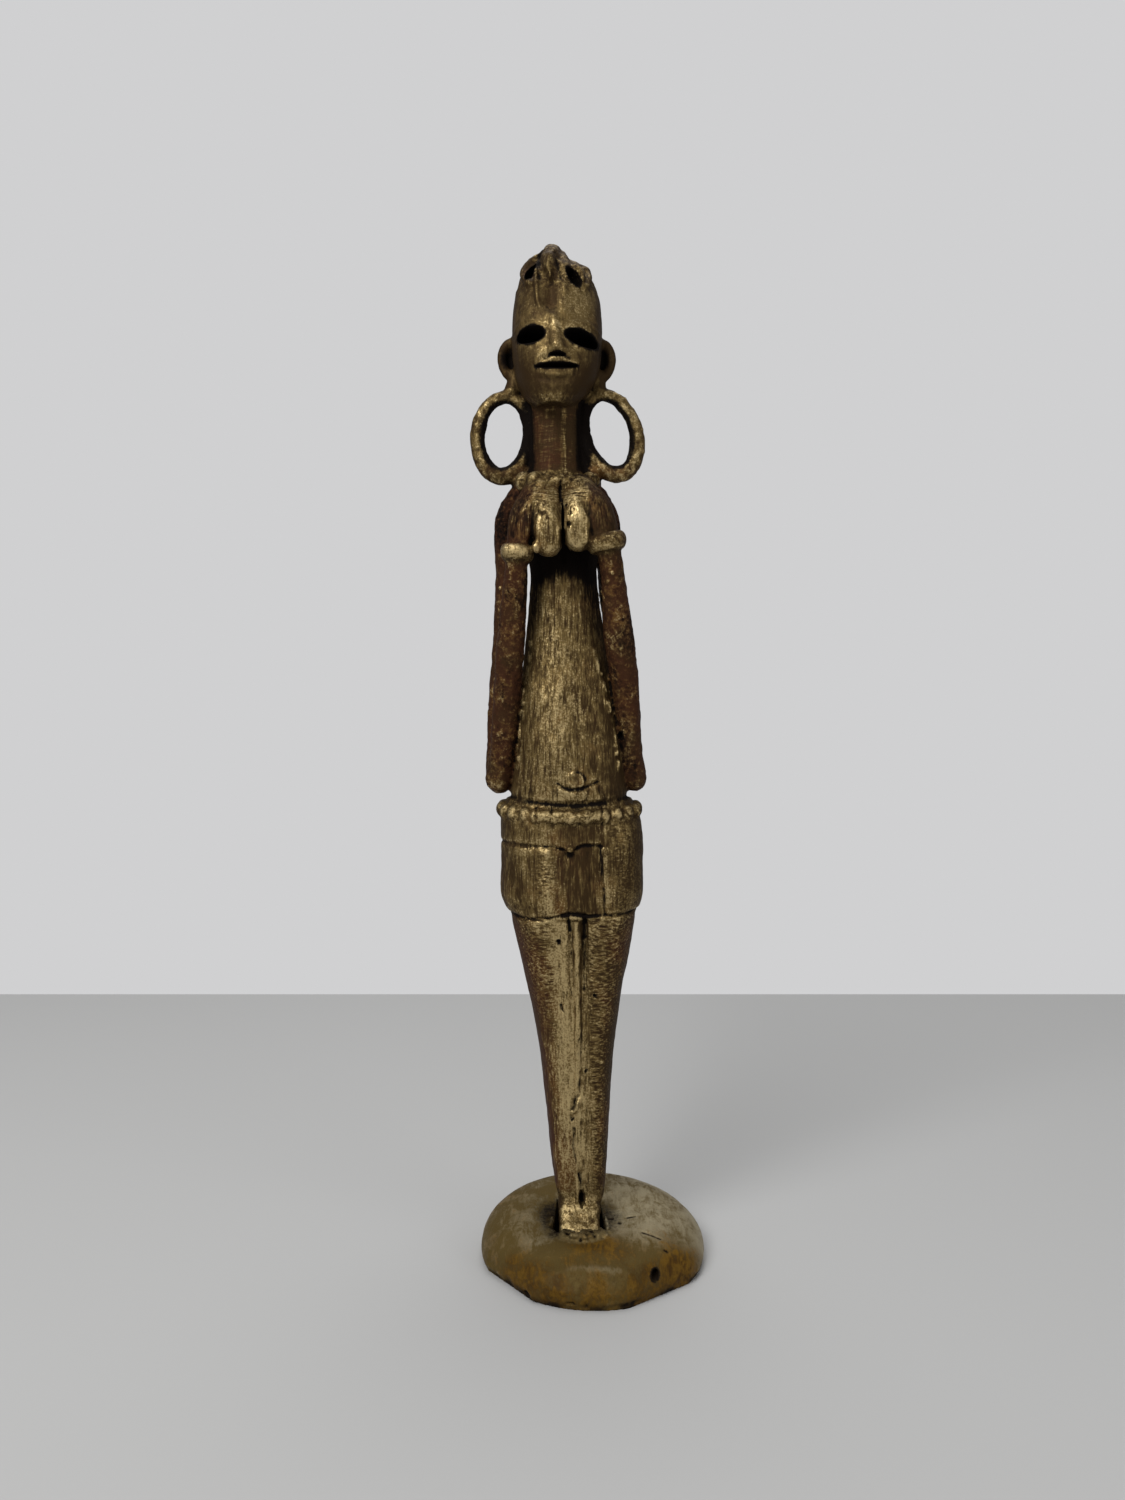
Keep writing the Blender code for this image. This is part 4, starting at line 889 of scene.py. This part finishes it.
# The base: a pebble with a flat underside, in millimetres
base = {
    "wide": 49.6, "deep": 50.8, "high": 10.2,
    "rim": 1.7, "undercut": 0.4,
    "flatDepth": 1.3, "flatsFacing": (219, -54),
    "rise": 2.6, "slant": 1.6,
    "dishRadius": 10.5, "dishDepth": 2.1,
    "spread": 0.55, "share": 0.9,
    "floor": 3.7, "sideGap": 1.3, "backGap": 0.35, "fitGap": 0.3,
    "voxel": 0.27, "rounds": 2,
    "pit": (12.4, -20.0, 4.6, 0.95, 3.2, 1.0),
    "chips": [(-14.6, -20.6, 1.0, 2.0, 1.2, 1.0), (-6.5, -25.2, 1.4, 2.4, 0.9, 0.7),
              (6.0, -25.6, 0.8, 2.0, 0.9, 0.6)],
    # small scratches on the top as x, y of both ends
    "scratches": [((7.6, -3.4), (9.2, -3.0)), ((10.4, -9.4), (14.2, -11.0)), ((5.6, -5.0), (5.9, -5.6)),
                  ((2.6, -2.8), (4.2, -3.2)), ((14.8, -13.8), (15.4, -14.0))],
    # grain as height, grain size, seed, and patches as tone, strength, x, half width, y, half depth
    "grain": {
        "skin": [(0.14, 8.0, 31), (0.06, 3.0, 32), (0.03, 1.2, 33)],
        "rim": [(0.34, 3.2, 34), (0.14, 1.1, 35)],
        "foot": [(0.30, (2.6, 2.6, 1.2), 37), (0.16, 0.9, 38)],
        "dish": [(0.12, 1.0, 36)],
        "braze": [(0.30, 1.5, 39), (0.22, 0.8, 40)],
    },
    "patches": [
        ("wearAndLighting", 0.10, -15, 5, -6, 7), ("wearAndLighting", -0.32, -0.5, 6.5, -15.2, 3.6),
        ("rust", 0.95, -0.5, 6.5, -15.2, 3.6), ("rust", -0.35, 4, 2.5, -23, 3),
        # painted shadows beside and in front of the feet
        ("patinaAndShade", 0.30, -11.0, 5.0, 0.0, 7.5), ("patinaAndShade", 0.24, 6.2, 4.0, -3.0, 7.0),
        ("patinaAndShade", 0.35, -8.6, 2.2, -9.5, 3.2)],
}


def rimReach(angle):
    # ellipse 1 / hypot(cos / a, sin / b), cut by flats at distance d: d / cos(angle - facing)
    a, b = base["wide"] / 2, base["deep"] / 2
    reach = 1 / np.hypot(np.cos(angle) / a, np.sin(angle) / b)
    for facing in base["flatsFacing"]:
        off = angle - math.radians(facing)
        flat = (a + b) / 2 - base["flatDepth"]
        cut = flat / np.maximum(np.cos(off), 0.2)
        reach = np.where(np.cos(off) > 0.5, np.minimum(reach, cut), reach)
    return reach


def baseTop(x, y, share):
    # crown height tilts with x and y; a bell-shaped dish sinks around the feet
    crown = base["high"] + base["rise"] * y / base["deep"] - base["slant"] * x / base["wide"]
    away = np.hypot(x - stand["x"], y - stand["y"] - stand["soleY"])
    dish = base["dishDepth"] * np.exp(-(away / base["dishRadius"]) ** 2)
    return base["rim"] + (crown - base["rim"]) * share - dish * share


def plainPlace(points):
    # millimetres to metres
    return points / 1000


def fromFeet(x, y, stretch):
    # distance seen from above from the middle of the soles, with y times stretch
    return np.hypot(x - stand["x"], (y - stand["soleY"]) * stretch)


def makeBaseForms():
    wax = Wax()
    turn = np.linspace(0.02, 0.5 * np.pi, 70)[:, None]
    a = np.linspace(0, 2 * np.pi, 360, endpoint=False)[None]
    # out = sin(turn)^spread, share = cos(turn)^share
    out = np.sin(turn) ** base["spread"]
    share = np.maximum(np.cos(turn), 0) ** base["share"]
    reach = rimReach(a) * out
    x, y = reach * np.cos(a), reach * np.sin(a)
    top = np.stack([x, y, baseTop(x, y, share)], -1)
    foot = rimReach(a) - base["undercut"]
    bottom = np.stack([foot * np.cos(a), foot * np.sin(a), 0 * a], -1)
    wax.grid(np.concatenate([bottom, top[::-1]], 0))
    # braze: a rough bead that runs round the front of the toes and back along both sides
    rough = np.random.default_rng(11)
    side, front = stand["soleWide"] + 1.9, stand["soleY"] - stand["soleLong"] - 1.2
    px = stand["x"] + np.array([-side - 0.2, -side, -4.4, -2.0, 0.4, 2.8, 4.8, side + 0.2, side + 0.3])
    py = np.array([front + 4.6, front + 1.6, front - 0.6, front - 1.6, front - 2.0, front - 1.6, front - 0.6,
                   front + 1.4, front + 4.2]) + rough.uniform(-0.15, 0.15, 9)
    pr = np.array([0.4, 0.6, 0.5, 0.7, 0.5, 0.8, 0.8, 0.7, 0.4])
    wax.wire(np.stack([px, py, baseTop(px, py, 0.97) - 0.2, pr], 1), side=(0, 0, 1))
    for k in range(46):
        x = stand["x"] + rough.uniform(-3.6, 6.4)
        y = front + rough.uniform(-3.0, 0.9) + 0.06 * (x - stand["x"] - 1) ** 2
        r = rough.uniform(0.4, 0.8)
        wax.ball(x, y, baseTop(np.array(x), np.array(y), 0.97) + rough.uniform(0.1, 0.9), r, r, r * 0.9,
                 sides=14, rings=10)
    # thin flakes of braze standing in the slots beside the feet
    for side, lean in ((-1, 0.9), (1, 1.3)):
        x, y = stand["x"] + side * (stand["soleWide"] + 1.5), front + 4.4
        z = float(baseTop(np.array(x), np.array(y), 0.97))
        wax.wire([(x + side * 0.3, y - 1.6, z - 1.0, 0.7), (x, y - 0.6, z + 0.8, 0.45),
                  (x - side * lean * 0.6, y + 0.6, z + 2.4, 0.28)], side=(1, 0, 0))
    return wax.mesh("baseForms", plainPlace)


def makeBaseHollows():
    # socket widening to the front beside the feet, the pit in the rim and chips along its foot
    hollow = Wax()
    near, far = stand["soleWide"] + base["sideGap"], stand["soleWide"] + base["backGap"]
    long = stand["soleLong"] + base["fitGap"]
    corners = np.array([(-far, long), (-near, -long), (near, -long), (far, long)])
    corners = corners + np.array([stand["x"], stand["soleY"]])
    hollow.grid(np.stack([np.column_stack([corners, np.full(4, z)]) for z in (base["floor"], 16.0)]))
    hollow.ball(*base["pit"])
    for chip in base["chips"]:
        hollow.ball(*chip)
    return hollow.mesh("baseHollows", plainPlace)


def baseRelief(p):
    # height in millimetres by which the base's skin rises or sinks
    x, y, z = p.T
    masks = {
        "skin": 1.0,
        "rim": soft(y, -19.5, -22.0) * soft(z, 7.4, 5.9),
        "foot": soft(y, -4, -12) * soft(z, 3.0, 1.5),
        "dish": soft(fromFeet(x, y, 1), 10.5, 7.5),
        "braze": soft(fromFeet(x - 0.6, y, 0.8), 9.6, 8.1) * soft(y, -8.6, -9.4),
    }
    rise = sum(mask * layered(p, base["grain"][name]) for name, mask in masks.items())
    # a ridge along the front shoulder, with a shallow trough behind it
    arc = band(x, -13, -9, 6.0, 9.0) * soft(z, 4, 6)
    rise += arc * (0.30 * bell(y, -21.6, 1.0) - 0.28 * bell(y, -18.8, 1.6))
    for stroke in base["scratches"]:
        rise -= 0.25 * bell(nearLine(p[:, :2], stroke), 0, 0.28) * soft(z, 5, 6)
    return rise * soft(z, 0.05, 0.8)


def baseTones(p, cavity, broad):
    # rubbed tone: pale rubbed brass, with painted highlights on raised edges; rust: orange-brown stain; dark
    # tone: dark hollows and marks, with painted shadow round the feet; braze: bare braze
    x, y, z = p.T
    away = fromFeet(x, y, np.where(y < stand["soleY"], 0.8, 1.0))
    cloud, fleck = grainNoise(p, 7.0, 41), grainNoise(p, 2.2, 42)
    rim = soft(y, -11, -17) * soft(z, 8.6, 5.6)
    wearAndLighting = 0.18 + 0.16 * cloud + 0.10 * fleck + 0.56 * soft(x, -2, 9) * soft(y, -15, -5)
    # lighter on convex edges: wear and painted edge highlights
    wearAndLighting += 0.5 * soft(cavity, -0.02, -0.12) - 0.28 * rim
    wearAndLighting += 0.30 * bell(y, -21.6, 1.0) * band(x, -12, -8, 5, 8) * soft(z, 5, 6.5)
    rust = 0.16 + 0.26 * cloud + 0.16 * fleck + 0.52 * rim
    rust += 0.4 * soft(x, 12, 17) * soft(y, -6, -10) + 0.2 * soft(x, -12, -20)
    # patina dark in crevices, painted shade where the skin lies below its wide neighbourhood, and painted
    # shadow in the dish round the feet
    patinaAndShade = 0.8 * soft(cavity, 0.03, 0.16) + 0.4 * soft(broad, 0.2, 1.0)
    patinaAndShade += 0.55 * soft(away, 11.0, 6.5) + 0.24 * rim
    patinaAndShade += 0.7 * soft(z, 2.2, 0.4) * np.clip(0.5 + grainNoise(p, 3.0, 43), 0, 1) * soft(y, 0, -8)
    for stroke in base["scratches"]:
        patinaAndShade += 0.9 * bell(nearLine(p[:, :2], stroke), 0, 0.28) * soft(z, 5, 6)
    px, py, pz, wide, deep, high = base["pit"]
    far = np.sqrt(((x - px) / wide) ** 2 + ((y - py) / deep) ** 2 + ((z - pz) / high) ** 2)
    patinaAndShade += soft(far, 1.3, 1.15)
    wearAndLighting += 0.4 * bell(far, 1.6, 0.15)
    tones = {"wearAndLighting": wearAndLighting, "rust": rust, "patinaAndShade": patinaAndShade, "braze": soft(away, 10.6, 9.0) * soft(y, -7.5, -8.5)}
    for tone, strength, middle, width, front, reach in base["patches"]:
        tones[tone] += strength * bell(x, middle, width) * bell(y, front, reach)
    return tones


def makeBase():
    mesh = fuse("base", makeBaseForms(), makeBaseHollows(), base)
    print("base fused:", len(mesh.polygons), "faces")
    places, normals, edges = meshArrays(mesh)
    movePoints(mesh, places + normals * baseRelief(places * 1000)[:, None] / 1000)
    keepInside(mesh, "base")
    setShade(mesh)
    mesh.name = "statuette_base"
    places, normals, edges = meshArrays(mesh)
    setTones(mesh, baseTones(places * 1000, *hollowness(places, normals, edges)))
    return newObject("statuette_base", mesh)


class Signal:
    # a socket that can be added, subtracted and multiplied; each operation is one Math node
    def __init__(self, paint, socket):
        self.paint, self.socket = paint, socket

    def math(self, operation, *values):
        return self.paint.node("ShaderNodeMath", {"operation": operation}, dict(enumerate(values))).out()

    def __add__(self, other):
        return self.math("ADD", self, other)

    def __radd__(self, other):
        return self.math("ADD", other, self)

    def __sub__(self, other):
        return self.math("SUBTRACT", self, other)

    def __rsub__(self, other):
        return self.math("SUBTRACT", other, self)

    def __mul__(self, other):
        return self.math("MULTIPLY", self, other)

    def __rmul__(self, other):
        return self.math("MULTIPLY", other, self)

    def ramp(self, low, high):
        # 0 to 1 as the value goes from low to high
        return self.paint.node("ShaderNodeMapRange", {"interpolation_type": "SMOOTHSTEP"},
                               {"Value": self, "From Min": low, "From Max": high}).out("Result")


class Node:
    def __init__(self, paint, made):
        self.paint, self.made = paint, made

    def out(self, name=0):
        return Signal(self.paint, self.made.outputs[name])


class Paint:
    # one material's node tree
    def __init__(self, name):
        self.material = bpy.data.materials.new(name)
        self.material.use_nodes = True
        self.tree = self.material.node_tree
        self.shader = self.tree.nodes["Principled BSDF"]
        self.place = self.node("ShaderNodeTexCoord").out("Object")

    def node(self, kind, settings=None, values=None):
        made = self.tree.nodes.new(kind)
        for key, value in (settings or {}).items():
            setattr(made, key, value)
        for key, value in (values or {}).items():
            self.feed(made.inputs[key], value)
        return Node(self, made)

    def feed(self, socket, value):
        if isinstance(value, Signal):
            self.tree.links.new(value.socket, socket)
        else:
            socket.default_value = value

    def attribute(self, name):
        return self.node("ShaderNodeAttribute", {"attribute_name": name}).out("Fac")

    def noise(self, scale, detail=4.0, rough=0.6, stretch=(1, 1, 1), turn=(0, 0, 0), warp=0.0):
        place = self.node("ShaderNodeMapping", None, {"Vector": self.place, "Scale": stretch,
                                                      "Rotation": [math.radians(t) for t in turn]}).out()
        return self.node("ShaderNodeTexNoise", None, {
            "Vector": place, "Scale": scale, "Detail": detail, "Roughness": rough,
            "Distortion": warp}).out("Fac")

    def blend(self, factor, first, second):
        made = self.node("ShaderNodeMix", {"data_type": "RGBA"})
        for key, value in (("Factor_Float", factor), ("A_Color", first), ("B_Color", second)):
            socket = next(s for s in made.made.inputs if s.identifier == key)
            self.feed(socket, value)
        socket = next(s for s in made.made.outputs if s.identifier == "Result_Color")
        return Signal(self, socket)

    def bump(self, height, distance, strength=1.0):
        return self.node("ShaderNodeBump", None, {"Height": height, "Distance": distance,
                                                  "Strength": strength}).out("Normal")


# Linear colours of the figure's brass, from rubbed to blackened; bright also serves for painted glints, black
# for painted shade
brass = {
    "bright": (0.53, 0.400, 0.195, 1),
    "olive": (0.174, 0.118, 0.044, 1),
    "amber": (0.150, 0.080, 0.026, 1),
    "brown": (0.042, 0.024, 0.0095, 1),
    "red": (0.056, 0.022, 0.0105, 1),
    "black": (0.006, 0.004, 0.003, 1),
}


def figurePaint():
    # strokes, cast grain or file marks, each where its mask is, break up every tone
    paint = Paint("patinated brass")
    wearAndLighting, rust, patinaAndShade, grit, calm, filed, wound = (
        paint.attribute(k) for k in ("wearAndLighting", "rust", "patinaAndShade", "grit", "calm", "filed", "wound"))
    stroke = paint.noise(1500, 3, 0.65, (1, 1, 0.10)) * 0.6 + paint.noise(3400, 2, 0.6, (1, 1, 0.14)) * 0.4
    grain = paint.noise(1100, 6, 0.75)
    file = paint.noise(2400, 3, 0.6, (0.24, 1, 1), (0, 24, 0))
    level = paint.noise(3200, 2, 0.6, (0.16, 0.16, 1))
    cloud = paint.noise(170, 4, 0.6)
    patch = paint.noise(420, 3, 0.6, (1, 1, 0.5))
    speck = paint.noise(2600, 2, 0.6)
    texture = stroke + (grain - stroke) * grit
    texture = texture + (file - texture) * filed
    texture = texture + (level - texture) * wound
    force = 1 - 0.55 * calm
    # rubbed brass, lightened and darkened also by the painted light and shade in the rubbed tone
    rubbedAndLit = (wearAndLighting + (texture - 0.5) * 3.8 * force + (cloud - 0.5) * 0.5
              + (patch - 0.5) * 0.7).ramp(0.15, 0.92)
    # bright specks: polished spots together with painted glints
    polishAndGlint = (wearAndLighting + (texture - 0.5) * 2.6 * force + (speck - 0.5) * 1.5).ramp(0.58, 1.25)
    redness = (rust + (cloud - 0.5) * 0.8 + (grain - 0.5) * 0.9).ramp(0.2, 0.85)
    patina = paint.blend(redness, brass["brown"], brass["red"])
    warmth = (rust + (cloud - 0.5) * 1.6 + (patch - 0.5) * 0.8).ramp(0.25, 0.95)
    colour = paint.blend(rubbedAndLit, patina, paint.blend(warmth, brass["olive"], brass["amber"]))
    colour = paint.blend(polishAndGlint, colour, brass["bright"])
    # blackening: patina in hollows together with painted shade
    dark = (patinaAndShade + 0.10 + (0.5 - texture) * 2.2 * force + (0.5 - patch) * 0.4).ramp(0.22, 0.92)
    colour = paint.blend(dark, colour, brass["black"])
    paint.feed(paint.shader.inputs["Base Color"], colour)
    paint.feed(paint.shader.inputs["Metallic"], (0.35 + 0.35 * rubbedAndLit + 0.25 * polishAndGlint) * (1 - 0.7 * dark))
    paint.feed(paint.shader.inputs["Roughness"], 0.56 - 0.10 * rubbedAndLit - 0.12 * polishAndGlint + 0.25 * dark)
    height = texture * 1.4 * force + speck * 0.25 * (0.4 + grit)
    paint.feed(paint.shader.inputs["Normal"], paint.bump(height, 0.00024, 0.8))
    paint.shader.inputs["Specular IOR Level"].default_value = 0.05
    return paint.material


# Linear colours of the base: pale worn top and painted edge highlights, olive, orange-brown stain, dark
# hollows and painted shadow
stone = {
    "pale": (0.345, 0.290, 0.180, 1),
    "olive": (0.100, 0.066, 0.019, 1),
    "orange": (0.146, 0.076, 0.009, 1),
    "umber": (0.044, 0.019, 0.003, 1),
    "dark": (0.010, 0.006, 0.003, 1),
    "braze": (0.21, 0.155, 0.068, 1),
}


def basePaint():
    # cloud, brush marks and grain break up every tone
    paint = Paint("dull brass")
    wearAndLighting, rust, patinaAndShade, braze = (paint.attribute(k) for k in ("wearAndLighting", "rust", "patinaAndShade", "braze"))
    cloud = paint.noise(150, 6, 0.65, warp=0.6)
    brush = paint.noise(700, 5, 0.7, (1, 0.3, 0.6), (0, 0, 25), warp=0.8)
    grain = paint.noise(1400, 5, 0.7)
    paleness = (wearAndLighting + (cloud - 0.5) * 1.8 + (brush - 0.5) * 1.7 + (grain - 0.5) * 0.6).ramp(0.05, 1.05)
    stain = (rust + (cloud - 0.5) * 1.1 + (brush - 0.5) * 1.4 + (grain - 0.5) * 0.9).ramp(0.28, 0.95)
    colour = paint.blend(paleness, stone["olive"], stone["pale"])
    mottle = (brush + (cloud - 0.5) * 0.8 + (grain - 0.5) * 0.4).ramp(0.34, 0.68)
    colour = paint.blend(stain, colour, paint.blend(mottle, stone["umber"], stone["orange"]))
    colour = paint.blend((wearAndLighting + (brush - 0.5) * 2.6).ramp(0.8, 1.3), colour, stone["pale"])
    colour = paint.blend((braze + (grain - 0.5) * 2.0).ramp(0.5, 1.3), colour, stone["braze"])
    # darkening: patina in hollows and marks together with painted shadow
    dark = (patinaAndShade + (grain - 0.5) * 1.2 + (cloud - 0.5) * 0.8 + (brush - 0.5) * 0.6).ramp(0.12, 1.0)
    colour = paint.blend(dark, colour, stone["dark"])
    paint.feed(paint.shader.inputs["Base Color"], colour)
    paint.feed(paint.shader.inputs["Metallic"], 0.25 + 0.25 * paleness + 0.3 * braze - 0.15 * stain)
    paint.feed(paint.shader.inputs["Roughness"], 0.56 - 0.12 * paleness + 0.15 * dark - 0.05 * stain)
    paint.feed(paint.shader.inputs["Normal"], paint.bump(brush * 0.6 + grain * 0.9, 0.00018, 0.7))
    paint.shader.inputs["Specular IOR Level"].default_value = 0.08
    return paint.material


figurePiece = makeFigure()
figurePiece.data.materials.clear()
figurePiece.data.materials.append(figurePaint())
basePiece = makeBase()
basePiece.data.materials.clear()
basePiece.data.materials.append(basePaint())

for piece, node, slot in ((figurePiece, "figure", "figure_brass"), (basePiece, "base", "base_brass")):
    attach(piece, "root")
    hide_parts(node)
print("pieces placed")

# Floor, light and camera
studio = {
    "floorFront": -0.9, "floorBack": 0.213, "floorHalf": 1.2,
    "floorColor": (0.495, 0.495, 0.49, 1), "floorRoughness": 0.85,
    "skyColor": (0.631, 0.631, 0.638),
    "ambient": 0.41,
    # place, target, size in metres, power in watts
    "lights": {
        "key": ((-0.35, -0.50, 0.60), (0, 0, 0.12), 0.45, 4.2),
        "fill": ((0.6, -0.5, 0.3), (0, 0, 0.1), 0.5, 1.1),
        "top": ((0.02, 0.24, 0.9), (0, 0.02, 0.05), 0.6, 2.7),
    },
    # the photograph is 1125 x 1500, its focal length 1127 pixels; 36 mm lie along the tall side
    "lens": 27.05, "sensor": 36.0,
    "camera": (-0.00674, -0.246, 0.12494), "tilt": 87, "clip": (0.01, 10),
}


def area(name, place, target, size, power):
    # round lamp at place, facing target
    light = bpy.data.lights.new(name, "AREA")
    light.shape, light.size, light.energy = "DISK", size, power
    lamp = newObject(name, light)
    lamp.location = place
    way = np.array(target) - np.array(place)
    lamp.rotation_euler = Vector(way).to_track_quat("-Z", "Y").to_euler()


def makeStudio():
    s = studio
    h, f, b = s["floorHalf"], s["floorFront"], s["floorBack"]
    points = np.array([(-h, f, 0), (h, f, 0), (h, b, 0), (-h, b, 0)], float)
    floor = newObject("floor", newMesh("floor", points, np.array([[0, 1, 2, 3]]), np.zeros((0, 3), int)))
    paint = Paint("floor")
    paint.shader.inputs["Base Color"].default_value = s["floorColor"]
    paint.shader.inputs["Roughness"].default_value = s["floorRoughness"]
    floor.data.materials.append(paint.material)
    world = bpy.data.worlds.new("room")
    world.use_nodes = True
    tree = world.node_tree
    back = tree.nodes["Background"]
    back.inputs["Color"].default_value = (*s["skyColor"], 1)
    path = tree.nodes.new("ShaderNodeLightPath")
    dim = tree.nodes.new("ShaderNodeMapRange")
    dim.inputs["To Min"].default_value = s["ambient"]
    dim.inputs["To Max"].default_value = 1.0
    tree.links.new(path.outputs["Is Camera Ray"], dim.inputs["Value"])
    tree.links.new(dim.outputs["Result"], back.inputs["Strength"])
    bpy.context.scene.world = world
    for name, values in s["lights"].items():
        area(name, *values)


def makeCamera():
    # the photograph's view
    lens = bpy.data.cameras.new("camera")
    lens.sensor_width, lens.lens = studio["sensor"], studio["lens"]
    lens.clip_start, lens.clip_end = studio["clip"]
    camera = newObject("camera", lens)
    camera.location = studio["camera"]
    camera.rotation_euler = (math.radians(studio["tilt"]), 0, 0)
    bpy.context.scene.camera = camera


makeStudio()
makeCamera()
bpy.context.scene.view_settings.view_transform = "Standard"
